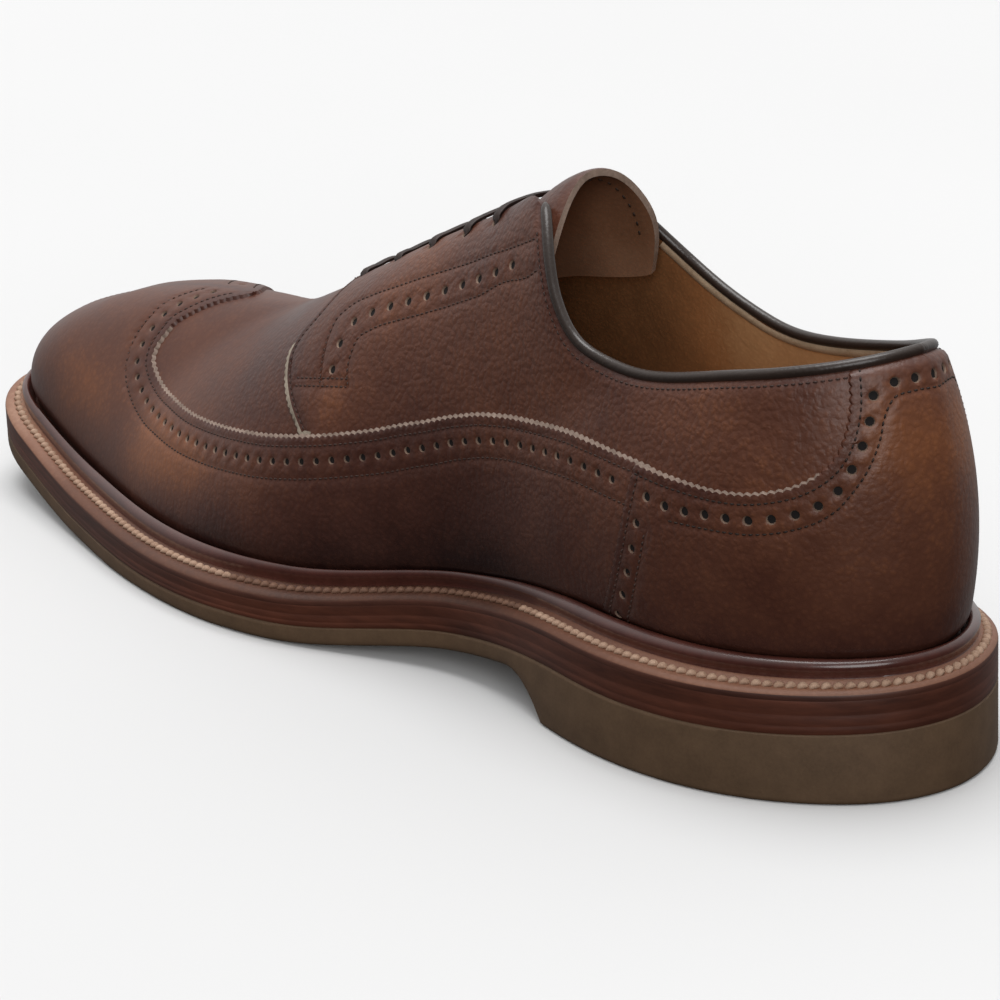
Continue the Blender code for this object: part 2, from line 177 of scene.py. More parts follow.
# Tongue from its top edge down to the vamp: middle line, half width and how far its edges curl down
TONGUE = (
    # x, z, half_width, curl
    (98.3, 112.2, 21.8, 27.4),
    (102.9, 111.9, 20.5, 27.0),
    (106.5, 110.5, 20.3, 26.8),
    (110.0, 108.4, 20.0, 25.6),
    (118.0, 102.4, 18.8, 20.9),
    (130.0, 95.4, 18.5, 16.0),
    (145.0, 87.8, 18.5, 13.0),
    (165.0, 77.6, 17.5, 8.5),
    (185.0, 67.3, 15.5, 6.0),
    (196.0, 62.2, 13.0, 4.0),
)
TONGUE_THICK = 2.0
TONGUE_BOW = 2.4

# Seams on one side of the shoe as station and height on the upper; the other side repeats them
WING_EDGE = (
    (8.52, 1.0), (8.47, 0.955), (8.45, 0.90), (8.44, 0.85), (8.42, 0.79), (8.40, 0.735), (8.38, 0.68),
    (8.31, 0.62), (8.22, 0.55), (8.12, 0.502), (8.00, 0.474), (7.83, 0.446), (7.62, 0.418), (7.34, 0.392),
    (7.02, 0.372), (6.69, 0.360), (6.42, 0.357), (6.17, 0.364), (5.90, 0.379), (5.62, 0.402), (5.42, 0.441),
    (5.25, 0.501), (5.07, 0.572), (4.86, 0.640), (4.66, 0.683), (4.44, 0.706), (4.08, 0.707), (3.71, 0.683),
    (3.58, 0.668),
)
COUNTER_FRONT = ((3.94, 0.0), (3.92, 0.03), (3.81, 0.20), (3.75, 0.377), (3.73, 0.534), (3.715, 0.683))
COUNTER_TOP = (
    (3.715, 0.683), (3.38, 0.645), (3.05, 0.621), (2.70, 0.619), (2.37, 0.642), (2.13, 0.690), (1.97, 0.752),
    (1.87, 0.825), (1.83, 0.905), (1.84, 0.96), (1.85, 1.0),
)
QUARTER_FRONT = (
    (6.02, 0.29), (6.18, 0.373), (6.42, 0.451), (6.62, 0.529), (6.73, 0.583), (6.80, 0.640), (6.84, 0.70),
    (6.92, 0.778), (7.06, 0.87), (7.24, 0.95), (7.40, 1.0),
)
QUARTER_LOW = (
    (1.2, 0.55), (2.4, 0.53), (3.05, 0.51), (3.7, 0.57), (4.44, 0.60), (4.86, 0.53), (5.25, 0.39),
    (5.62, 0.30), (6.02, 0.29),
)
STAY_INNER = (
    (6.24, 0.488), (6.40, 0.575), (6.50, 0.638), (6.545, 0.682), (6.52, 0.710), (6.41, 0.731), (6.24, 0.746),
    (6.08, 0.760), (5.89, 0.771), (5.70, 0.785), (5.53, 0.831), (5.39, 0.926), (5.35, 0.965),
)
STAY_OUTER = (
    (6.03, 0.487), (6.11, 0.524), (6.18, 0.574), (6.205, 0.606), (6.15, 0.625), (6.00, 0.643), (5.83, 0.656),
    (5.66, 0.675), (5.51, 0.717), (5.40, 0.795), (5.26, 0.901), (5.22, 0.955),
)
STAY_HOLES = (
    (6.23, 0.527), (6.32, 0.592), (6.355, 0.650), (6.27, 0.672), (6.17, 0.683), (6.05, 0.691), (5.93, 0.700),
    (5.82, 0.708), (5.70, 0.720), (5.59, 0.742), (5.49, 0.784), (5.40, 0.847),
)
BAR = ((6.44, 0.487), (6.24, 0.487), (6.03, 0.487))

# Camera of the photograph, by azimuth, elevation and roll in degrees, and its frame in pixels
CAMERA_AZIMUTH = 229.0
CAMERA_ELEVATION = 19.01
CAMERA_ROLL = -2.664
CAMERA_DISTANCE = 0.9
CAMERA_TARGET = Vector((0.0, 0.0035, 0.045))
CAMERA_FOCAL = 3958.5
CAMERA_CENTRE = (445.8, 414.5)
FRAME_SIZE = 1000.0
SENSOR = 36.0


# Small helpers


def unit(vectors):
    return vectors / np.linalg.norm(vectors, axis=-1)[..., None]


def dots(a, b):
    return np.einsum("ij,ij->i", a, b)


def ease(value, start, end):
    t = np.clip((value - start) / (end - start), 0, 1)
    return t * t * (3 - 2 * t)


def lifted(low, t):
    """t brought from the range 0 to 1 into the range low to 1."""
    return low + (1 - low) * t


def run_lengths(points, power=1.0):
    """Distance along a line of points from its first, with each step raised to a power."""
    return np.append(0, np.cumsum(np.linalg.norm(np.diff(points, axis=0), axis=1) ** power))


def read_along(at, lengths, values):
    """The columns of values, read at distances along their line."""
    return np.column_stack([np.interp(at, lengths, column) for column in values.T])


def tree_of(points):
    """A search tree of points by their number."""
    tree = KDTree(len(points))
    for i, point in enumerate(points):
        tree.insert(point, i)
    tree.balance()
    return tree


# Form of the shoe


def limited_slopes(knots, values):
    """Slopes at the knots for a cubic that never swings past its rows."""
    step = np.diff(knots)[:, None]
    rise = np.diff(values, axis=0) / step
    before, after = rise[:-1], rise[1:]
    same = before * after > 0
    weight_before = 2 * step[1:] + step[:-1]
    weight_after = step[1:] + 2 * step[:-1]
    blend = weight_before / np.where(same, before, 1.0) + weight_after / np.where(same, after, 1.0)
    inner = np.where(same, (weight_before + weight_after) / blend, 0.0)
    return np.vstack([rise[:1], inner, rise[-1:]])


def periodic_slopes(knots, values):
    """Slopes at the knots for a smooth closed cubic; the last knot repeats the first."""
    count = len(knots) - 1
    step = np.diff(knots)
    rise = np.diff(values, axis=0) / step[:, None]
    matrix = np.zeros((count, count))
    right = np.zeros((count, values.shape[1]))
    for i in range(count):
        matrix[i, i - 1] += step[i]
        matrix[i, i] += 2 * (step[i - 1] + step[i])
        matrix[i, (i + 1) % count] += step[i - 1]
        right[i] = 3 * (step[i] * rise[i - 1] + step[i - 1] * rise[i])
    slopes = np.linalg.solve(matrix, right)
    return np.vstack([slopes, slopes[:1]])


def cubic(knots, values, slopes, at):
    """Values of the cubic through the knots with the given slopes."""
    i = np.clip(np.searchsorted(knots, at, side="right") - 1, 0, len(knots) - 2)
    step = (knots[i + 1] - knots[i])[:, None]
    t = (at - knots[i])[:, None] / step
    return (values[i] * (1 + 2 * t) * (1 - t) ** 2 + slopes[i] * step * t * (1 - t) ** 2
            + values[i + 1] * t * t * (3 - 2 * t) - slopes[i + 1] * step * t * t * (1 - t))


def table(rows, at):
    """The columns of a table after its first, read between its rows."""
    data = np.array(rows, float)
    return cubic(data[:, 0], data[:, 1:], limited_slopes(data[:, 0], data[:, 1:]), np.asarray(at, float))


def soft_table(rows, r, odd_column=None):
    """A table by station, averaged a little along r; the odd column changes sign across the heel's middle."""
    total = 0.0
    for shift, weight in zip(SOFT_SHIFTS, SOFT_WEIGHTS):
        place = r + shift
        values = table(rows, LAST - abs(LAST - abs(place)))
        if odd_column is not None:
            values[:, odd_column] *= np.where(place < 0, -1.0, 1.0)
        total = total + weight * values
    return total


def closed_loop(inner, outer):
    """Columns round the sole: the inner side from heel to toe, then the outer side back to the heel."""
    return np.vstack([inner, outer[-2::-1]])


LOOP_POWER = 0.7
sole_rows = np.array(SOLE)
EDGE_LOOP = closed_loop(sole_rows[:, :2], sole_rows[:, [0, 2]] * [1, -1])
WELT_LOOP = closed_loop(sole_rows[:, 3:4], sole_rows[:, 4:5])
LOOP_KNOTS = run_lengths(EDGE_LOOP, LOOP_POWER)
EDGE_SLOPES = periodic_slopes(LOOP_KNOTS, EDGE_LOOP)
WELT_SLOPES = periodic_slopes(LOOP_KNOTS, WELT_LOOP)


def loop_place(r, side):
    """Distance round the sole of station r on the inner (+1) or outer (-1) side."""
    return np.interp(r if side > 0 else ROUND - r, np.arange(ROUND + 1), LOOP_KNOTS)


def sole_edge(r, side):
    """Points of the sole's edge and the outward direction there."""
    place = loop_place(r, side)
    nudge = 0.01
    around = np.mod(np.stack([place - nudge, place + nudge]), LOOP_KNOTS[-1])
    ahead = cubic(LOOP_KNOTS, EDGE_LOOP, EDGE_SLOPES, around[1])
    along = ahead - cubic(LOOP_KNOTS, EDGE_LOOP, EDGE_SLOPES, around[0])
    return cubic(LOOP_KNOTS, EDGE_LOOP, EDGE_SLOPES, place), unit(np.stack([-along[:, 1], along[:, 0]], 1))


def welt_width(r, side):
    return cubic(LOOP_KNOTS, WELT_LOOP, WELT_SLOPES, loop_place(r, side))


def welt_top(x):
    return table(WELT_TOP, np.clip(x, 0, LENGTH))[:, 0]


def stack(x):
    """Thickness of welt and midsole together."""
    return np.interp(x, (STACK_FROM, STACK_TO), (STACK_HEEL, STACK_FORE))


def tread(x, y):
    """Underside of the outsole: flat heel, curved breast, arch, flat tread and toe spring."""
    arch = np.maximum(welt_top(x) - stack(x) - RUBBER_FORE - TREAD_SINK, 0)
    half = sole_rows[4, 1]
    breast = BREAST_EDGE - BREAST_CURVE * np.clip(1 - (y / half) ** 2, 0, 1)
    past = np.clip((x - breast) / BREAST_RUN, 0, 1)
    return arch * (1 - (1 - past) ** 2)


def feather(r, side):
    """Line where the upper meets the welt, with the outward direction."""
    edge, outward = sole_edge(r, side)
    line = edge - outward * welt_width(r, side)
    return np.column_stack([line, welt_top(line[:, 0]) + GAP]), outward


def section(r, side):
    """The four control points of the upper's section at each station."""
    top_rows, full_rows = (TOP_INNER, FULL_INNER) if side > 0 else (TOP_OUTER, FULL_OUTER)
    base, outward = feather(r, side)
    nudge = 0.01
    top = soft_table(top_rows, r, 1) * [1, side, 1]
    along = soft_table(top_rows, np.minimum(r + nudge, LAST), 1) - soft_table(top_rows, r - nudge, 1)
    slope = along[:, 2] / np.where(abs(along[:, 0]) < 1e-9, 1.0, along[:, 0])
    lean, rise, reach, drop = soft_table(full_rows, r).T
    low = base + np.column_stack([outward * lean[:, None], rise])
    fan = unit(base[:, :2] - top[:, :2])
    turn = ease(r, *COLLAR_TURN)[:, None]
    way = outward * (1 - turn) + fan * turn
    way *= (reach / np.linalg.norm(way, axis=1))[:, None]
    high = top + np.column_stack([way, ease(r, *RIDGE_TURN) * slope * way[:, 0] - drop])
    return base, low, high, top


def upper_points(r, w, side):
    """Points of the upper's outside: w runs from 0 at the welt to 1 at the top edge."""
    base, low, high, top = section(r, side)
    w = np.broadcast_to(w, r.shape)[:, None]
    v = 1 - w
    return base * v ** 3 + 3 * low * v * v * w + 3 * high * v * w * w + top * w ** 3


def skin(s, w):
    """Points of the upper's outside at place s round the shoe: 0 at the heel, LAST at the toe, then back."""
    s = np.mod(np.asarray(s, float), ROUND)
    w = np.broadcast_to(np.asarray(w, float), s.shape)
    inner = s <= LAST
    points = np.empty((len(s), 3))
    if inner.any():
        points[inner] = upper_points(s[inner], w[inner], 1)
    if not inner.all():
        points[~inner] = upper_points(ROUND - s[~inner], w[~inner], -1)
    return points


NUDGE_S = 0.01
NUDGE_W = 0.006
RIDGE_BLEND = 0.3


def station(s):
    """How far along the shoe a place is, the same on both sides."""
    return LAST - abs(LAST - np.mod(s, ROUND))


def spread(s, w):
    """How a point of the skin moves with s and with w."""
    w_low, w_high = np.clip(w - NUDGE_W, 0, 1), np.clip(w + NUDGE_W, 0, 1)
    with_s = (skin(s + NUDGE_S, w) - skin(s - NUDGE_S, w)) / (2 * NUDGE_S)
    with_w = (skin(s, w_high) - skin(s, w_low)) / (w_high - w_low)[:, None]
    return with_s, with_w


def facing_out(s, w):
    """Outward directions of the skin; both sides agree along the ridge of the vamp."""
    # The ridge ends in a point at the toe, so the direction there is read just below it
    toe_end = (abs(np.mod(s, ROUND) - LAST) < NUDGE_S) & (w > 1 - NUDGE_W)
    w = np.where(toe_end, 1 - NUDGE_W, w)
    with_s, with_w = spread(s, w)
    out = unit(np.cross(with_w, with_s))
    ridge = (w > 1 - NUDGE_W) & (station(s) > RIDGE_START - RIDGE_BLEND)
    if ridge.any():
        other_s, other_w = spread(-s[ridge], w[ridge])
        out[ridge] = unit(out[ridge] + unit(np.cross(other_w, other_s)))
    return out


def walk(s, w, way):
    """New places on the skin after moving by small vectors that lie on it."""
    with_s, with_w = spread(s, w)
    ss, ww, sw = dots(with_s, with_s), dots(with_w, with_w), dots(with_s, with_w)
    a, b = dots(with_s, way), dots(with_w, way)
    size = ss * ww - sw * sw
    return s + (a * ww - b * sw) / size, w + (b * ss - a * sw) / size


# Chart of the skin for cutting panels: about one unit to the millimetre
CHART_S = np.linspace(-LAST, ROUND + LAST, 1601)
CHART_LEVEL = 0.4
CHART_U = run_lengths(skin(CHART_S, CHART_LEVEL))
CHART_V = 80.0
TRACE_FINE = 60


def to_chart(s, w):
    return np.column_stack([np.interp(s, CHART_S, CHART_U), w * CHART_V])


def from_chart(uv):
    return np.interp(uv[:, 0], CHART_U, CHART_S), np.clip(uv[:, 1] / CHART_V, 0, 1)


def trace(rows, pitch, ends=True):
    """A smooth curve on the skin through the rows, as places spaced evenly by pitch."""
    rows = np.array(rows, float)
    knots = run_lengths(to_chart(*rows.T))
    slopes = np.gradient(rows, knots, axis=0)
    fine = cubic(knots, rows, slopes, np.linspace(0, knots[-1], TRACE_FINE * len(rows)))
    length = run_lengths(skin(*fine.T))
    count = max(int(round(length[-1] / pitch)), 1)
    at = np.linspace(0, length[-1], count + 1)
    if not ends:
        at = (at[:-1] + at[1:]) / 2
    s, w = read_along(at, length, fine).T
    return np.column_stack([s, np.clip(w, 0, 1)])


def along_curve(places):
    """Directions along a curve on the skin, and across it to its left as seen from outside."""
    points = skin(*places.T)
    run = unit(np.gradient(points, axis=0))
    return run, unit(np.cross(facing_out(*places.T), run))


def beside(places, distance):
    """The curve moved sideways over the skin; distance may be one size or one for each place."""
    distance = np.broadcast_to(distance, len(places))
    steps = 4
    for _ in range(steps):
        _, left = along_curve(places)
        s, w = walk(*places.T, left * (distance / steps)[:, None])
        places = np.column_stack([s, np.clip(w, 0, 1)])
    return places


def even(places, pitch):
    """The curve spaced again by pitch, with places in the middle of each step."""
    picked = np.linspace(0, len(places) - 1, max(len(places) // 2, 4)).astype(int)
    return trace(places[np.unique(picked)], pitch, False)


def mirrored(places):
    """The same places on the other side of the shoe, in the other order."""
    places = np.asarray(places, float)
    return np.column_stack([ROUND - places[::-1, 0], places[::-1, 1]])


# Meshes


def new_piece(name, points, faces, materials, face_material, sharp, replaces, values=None):
    """A piece that rides with the shoe, from points in millimetres; bends past an angle are sharp."""
    mesh = bpy.data.meshes.new(name)
    moved = (np.asarray(points) - [LENGTH / 2, Y_MIDDLE, 0]) * MM
    mesh.from_pydata(moved.tolist(), [], [list(map(int, face)) for face in faces])
    for material in materials:
        mesh.materials.append(material)
    if face_material is not None:
        mesh.polygons.foreach_set("material_index", np.asarray(face_material, np.int32))
    for label, numbers in (values or {}).items():
        made = mesh.attributes.new(label, "FLOAT", "POINT")
        made.data.foreach_set("value", np.asarray(numbers, np.float32))
    mesh.update()
    mesh.shade_smooth()
    if sharp:
        mesh.set_sharp_from_angle(angle=np.radians(sharp))
    piece = bpy.data.objects.new(name, mesh)
    bpy.context.scene.collection.objects.link(piece)
    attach(piece, "root")
    if replaces:
        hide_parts(*replaces)
    return piece


WELD_LIMIT = 0.004


def weld(points, faces):
    """Joins points that meet and drops faces that vanish."""
    keys = np.round(points / WELD_LIMIT).astype(np.int64)
    _, first, back = np.unique(keys, axis=0, return_index=True, return_inverse=True)
    back = back.reshape(-1)
    joined = []
    for face in faces:
        ring = [back[i] for i in face]
        ring = [v for v, before in zip(ring, ring[-1:] + ring[:-1]) if v != before]
        if len(set(ring)) > 2:
            joined.append(ring)
    return points[first], joined, first


def grid_faces(rows, columns, rows_closed=False, columns_closed=False, start=0):
    """Quads of a grid of points, row after row."""
    faces = []
    for i in range(rows if rows_closed else rows - 1):
        here, there = start + i * columns, start + (i + 1) % rows * columns
        for j in range(columns if columns_closed else columns - 1):
            k = (j + 1) % columns
            faces.append((here + j, here + k, there + k, there + j))
    return faces


def inside(uv, outline):
    """Which chart points lie inside a closed outline."""
    result = np.zeros(len(uv), bool)
    ahead = np.roll(outline, -1, axis=0)
    for (x0, y0), (x1, y1) in zip(outline, ahead):
        if y0 == y1:
            continue
        crosses = (y0 > uv[:, 1]) != (y1 > uv[:, 1])
        result ^= crosses & (uv[:, 0] < (x1 - x0) * (uv[:, 1] - y0) / (y1 - y0) + x0)
    return result


# Soft creases pressed into the upper: places of each line, depth (a ridge where negative) and width
CREASES = (
    (((7.55, 0.52), (7.72, 0.70), (7.80, 0.88)), 0.06, 6.0),
    (((7.15, 0.46), (7.30, 0.62), (7.42, 0.80)), 0.05, 6.0),
    (((6.95, 0.62), (7.15, 0.78), (7.40, 0.90)), 0.05, 5.0),
    (((4.55, 0.96), (4.35, 0.86), (4.20, 0.76)), 0.45, 7.0),
    (((4.95, 0.92), (4.72, 0.82), (4.60, 0.74)), -0.35, 7.0),
    (((3.05, 0.95), (2.85, 0.84), (2.60, 0.74)), 0.35, 6.0),
    (((5.35, 0.18), (5.05, 0.30), (4.70, 0.42)), 0.40, 9.0),
    (((4.55, 0.12), (4.30, 0.26), (4.10, 0.42)), -0.35, 8.0),
)
CREASE_PITCH = 1.5
CREASE_REACH = 45.0
crease_lines = []
for rows, depth, width in CREASES:
    places = trace(rows, CREASE_PITCH)
    for line in (places, mirrored(places)):
        fade = np.sin(np.linspace(0, np.pi, len(line)))
        crease_lines.append((skin(*line.T), depth * fade, width))


def relief(points):
    """Height that the creases add to the skin."""
    total = np.zeros(len(points))
    for line, depth, width in crease_lines:
        near = np.flatnonzero((np.abs(points - line.mean(0)) < CREASE_REACH).all(1))
        if len(near):
            gap = np.linalg.norm(points[near, None] - line[None], axis=2)
            closest = gap.argmin(1)
            total[near] -= depth[closest] * np.exp(-(gap.min(1) / width) ** 2)
    return total


def raised(s, w, height):
    """Points at a height over the skin, and the outward directions there."""
    points, out = skin(s, w), facing_out(s, w)
    return points + out * (height + relief(points))[:, None], out


# Layers of leather: heights over the skin, thicknesses, and the stations where a panel steps on to another
SHELL = -0.8
FLOOR = -1.1
QUARTER_THICK = 1.1
WING_THICK = 0.9
WING_OVER_QUARTER = 0.95
WING_STEP = (7.0, 6.2)
WING_SWELL = 0.35
WING_SWELLS = (5.8, 4.6)
WING_THINS = (4.0, 4.3)
WING_ON_VAMP = 6.6
COUNTER_THICK = 1.9
COUNTER_OVER_WING = 0.55
COUNTER_STEP = (3.15, 3.55)
COUNTER_ON_WING = 3.6
COUNTER_SINK = 0.1
COLLAR_TUCK = (0.972, 1.0)
WELT_TUCK = (0.0, 0.09)


def tuck(s, w):
    """Fades a panel's thickness at the welt and under the collar binding."""
    collar = np.where(station(s) < BINDING_END, 1 - ease(w, *COLLAR_TUCK), 1.0)
    return ease(w, *WELT_TUCK) * collar


def quarter_height(s, w):
    return SHELL + QUARTER_THICK * tuck(s, w)


def wing_height(s, w):
    r = station(s)
    rise = WING_OVER_QUARTER * ease(r, *WING_STEP)
    rise += WING_SWELL * ease(r, *WING_SWELLS) * ease(r, *WING_THINS)
    return SHELL + (WING_THICK + rise) * tuck(s, w)


def counter_height(s, w):
    return SHELL + (COUNTER_THICK + COUNTER_OVER_WING * ease(station(s), *COUNTER_STEP)) * tuck(s, w)


def under_quarter(s, w):
    return np.full(len(s), SHELL)


def under_wing(s, w):
    return np.where(station(s) > WING_ON_VAMP, SHELL, quarter_height(s, w))


def under_counter(s, w):
    return np.where(station(s) > COUNTER_ON_WING, wing_height(s, w) - COUNTER_SINK, quarter_height(s, w))


# Where a panel's cut edge shows pale, or as a strip on its face too: boxes from and to a station and a height
NO_LIMIT = 99.0
QUARTER_PALE = ((6.0, NO_LIMIT, -1.0, 0.62),)
# On the wing, the cut edge high up near the toe keeps the upper's dark colour as painted shade
WING_PALE = ((-1.0, NO_LIMIT, 0.05, 0.64), (-1.0, 6.0, 0.05, NO_LIMIT))
COUNTER_PALE = ((2.2, 3.72, 0.5, NO_LIMIT),)
FRONT_STRIP = ((6.1, NO_LIMIT, 0.33, 0.6),)


def in_boxes(boxes, s, w):
    """Which places lie in any of the boxes."""
    found = np.zeros(len(s), bool)
    for from_r, to_r, from_w, to_w in boxes:
        found |= (station(s) > from_r) & (station(s) < to_r) & (w > from_w) & (w < to_w)
    return found


# Burnished colour with painted shade and sheen: soft patches of lighter and darker leather, by place, size in
# millimetres and strength
PATCHES = (
    # s, w, size, strength
    (9.4, 0.34, 11.0, 0.05),
    (8.75, 0.30, 11.0, 0.13),
    (8.3, 0.26, 12.0, 0.18),
    (7.45, 0.25, 14.0, 0.36),
    (6.95, 0.235, 13.0, 0.34),
    (6.5, 0.25, 10.0, 0.20),
    (7.3, 0.78, 20.0, -0.08),
    (6.06, 0.437, 8.0, 0.24),
    # painted sheen: the top of the facing made lighter
    (6.25, 0.82, 18.0, 0.12),
    (5.0, 0.66, 26.0, 0.08),
    (3.2, 0.76, 20.0, 0.14),
    (1.9, 0.42, 22.0, 0.10),
    (1.2, 0.77, 11.0, 0.20),
    (0.75, 0.70, 12.0, 0.14),
    # painted shade: the upper darkened low at the waist, under its overhang and just above the welt
    (4.90, 0.20, 26.0, -0.18),
    (4.90, 0.03, 15.0, -0.22),
    (5.60, 0.03, 20.0, -0.25),
    (6.70, 0.02, 18.0, -0.26),
    (4.05, 0.28, 16.0, -0.06),
)


# Base tone of the leather, and the painted shade that darkens it low on the sides toward the welt over this
# band of heights
BASE_TONE = 0.51
LOW_PAINTED_SHADE = 0.20
LOW_SHADE_BAND = (0.0, 0.24)


def tone_of(w, points):
    """How light and warm the leather is, from 0 to 1, with painted shade low on the sides and some patches of
    painted shade and sheen.
    """
    tone = BASE_TONE - LOW_PAINTED_SHADE * (1 - ease(w, *LOW_SHADE_BAND))
    for place, height, size, strength in PATCHES:
        for at in (place, ROUND - place):
            centre = skin(np.array([at]), np.array([height]))[0]
            tone = tone + strength * np.exp(-(np.linalg.norm(points - centre, axis=1) / size) ** 2)
    return np.clip(tone, 0, 1)


# Strength of the grain: the least, the share left low on the side and on the counter, and where it grows
GRAIN_LEAST = 0.16
GRAIN_LOW = 0.5
GRAIN_COUNTER = 0.45
GRAIN_FORE = (8.0, 6.0)
GRAIN_RISE = (0.25, 0.6)
GRAIN_HEEL = (1.9, 3.1)


def grain_of(s, w):
    """How strongly the leather's grain shows: smooth on the toe, most wrinkled on the quarters."""
    front = ease(station(s), *GRAIN_FORE) * lifted(GRAIN_LOW, ease(w, *GRAIN_RISE))
    return lifted(GRAIN_LEAST, front * lifted(GRAIN_COUNTER, ease(station(s), *GRAIN_HEEL)))


TOOTH_PITCH = 1.75
TOOTH_DEPTH = 0.45
TOOTH_SHAPE = np.array([0.0, 0.55, 1.0, 0.55])


def gimped(rows):
    """A seam cut in small teeth, which stand to the left of the way it runs."""
    count = len(TOOTH_SHAPE)
    base = trace(rows, TOOTH_PITCH / count)
    teeth = TOOTH_SHAPE[np.arange(len(base)) % count] * TOOTH_DEPTH
    teeth[0] = teeth[-1] = 0
    return beside(base, teeth)


def ring(places, radius, sides):
    """Points of small circles on the skin, one row of places for each circle."""
    places = np.atleast_2d(places)
    with_s, _ = spread(*places.T)
    out = facing_out(*places.T)
    first = unit(with_s)
    second = np.cross(out, first)
    rings = []
    for angle in np.arange(sides) * 2 * np.pi / sides:
        s, w = walk(*places.T, (first * np.cos(angle) + second * np.sin(angle)) * radius)
        rings.append(np.column_stack([s, np.clip(w, 0, 1)]))
    return np.stack(rings, 1)


HOLE_SIDES = 10
HOLE_TAPER = 0.72
HOLE_DROP = 0.18
HOLE_COLLAR = 0.5
HOLE_CLEAR = 0.15
BACKING_DEPTH = 0.6
BACKING_CLEAR = 0.05
EDGE_DROP = 0.2
EDGE_SINK = 0.15
EDGE_SMOOTH = 5
EDGE_DARK = 0.14
EDGE_DARK_WIDE = 3.0
CUT_BAND = (0.03, 0.985)
ON_RIDGE = 0.999
GROOVE_DROP = 0.26
GROOVE_HALF = 0.75
GROOVE_REACH = 0.34
LATTICE_PITCH = 1.7
LATTICE_ROW = 0.87
LATTICE_REACH = 0.62
PANEL_SHARP = 38.0


def level(uv):
    """Chart points with a height of 0."""
    return np.column_stack([uv, np.zeros(len(uv))])


def closed_edges(start, count):
    return [(start + i, start + (i + 1) % count) for i in range(count)]


def panel_plan(outline, boundary, holes, grooves):
    """Chart points of a panel, how far each sinks, which hole it rims (or -1), and the edges that stay.

    The outline comes first, then the holes, then points in the grooves and a lattice between them.
    """
    ridge = (outline[:, 1] > ON_RIDGE) & (station(outline[:, 0]) > RIDGE_START)
    uv, drop, owner = [boundary], [np.where(ridge, 0.0, EDGE_DROP)], [np.full(len(boundary), -1)]
    edges = closed_edges(0, len(boundary))
    loose, loose_drop = [], []
    for places, radius in holes:
        for circle in ring(places, radius, HOLE_SIDES):
            edges += closed_edges(sum(map(len, uv)), HOLE_SIDES)
            uv.append(to_chart(*circle.T))
            drop.append(np.full(HOLE_SIDES, HOLE_DROP))
            owner.append(np.full(HOLE_SIDES, len(owner)))
        loose.append(ring(places, radius + HOLE_COLLAR, HOLE_SIDES).reshape(-1, 2))
        loose_drop.append(np.zeros(len(loose[-1])))
    for places in grooves:
        for shift, depth in ((0.0, GROOVE_DROP), (GROOVE_HALF, 0.0), (-GROOVE_HALF, 0.0)):
            loose.append(beside(places, shift) if shift else places)
            loose_drop.append(np.full(len(places), depth))
    extra = to_chart(*np.vstack(loose).T)
    low, high = boundary.min(0), boundary.max(0)
    lattice = []
    for k, v in enumerate(np.arange(low[1], high[1], LATTICE_PITCH * LATTICE_ROW)):
        u = np.arange(low[0] + (k % 2) * LATTICE_PITCH / 2, high[0], LATTICE_PITCH)
        lattice.append(np.column_stack([u, np.full(len(u), v)]))
    candidates = np.vstack([extra] + lattice)
    between = len(candidates) - len(extra)
    candidate_drop = np.concatenate(loose_drop + [np.zeros(between)])
    reach = np.repeat([GROOVE_REACH, LATTICE_PITCH * LATTICE_REACH], [len(extra), between])
    within = inside(candidates, boundary)
    for places, radius in holes:
        for centre in to_chart(*places.T):
            within &= np.linalg.norm(candidates - centre, axis=1) > radius + HOLE_CLEAR
    fixed = np.vstack(uv)
    tree = tree_of(level(np.vstack([fixed, extra])))
    keep = []
    for i in np.flatnonzero(within):
        number = len(fixed) + i
        near = [n for _, n, _ in tree.find_range((*candidates[i], 0), reach[i]) if n != number]
        if i < len(extra):
            near = [n for n in near if n < number]
        if not near:
            keep.append(i)
    uv.append(candidates[keep])
    drop.append(candidate_drop[keep])
    owner.append(np.full(len(keep), -1))
    return np.vstack(uv), np.concatenate(drop), np.concatenate(owner), edges


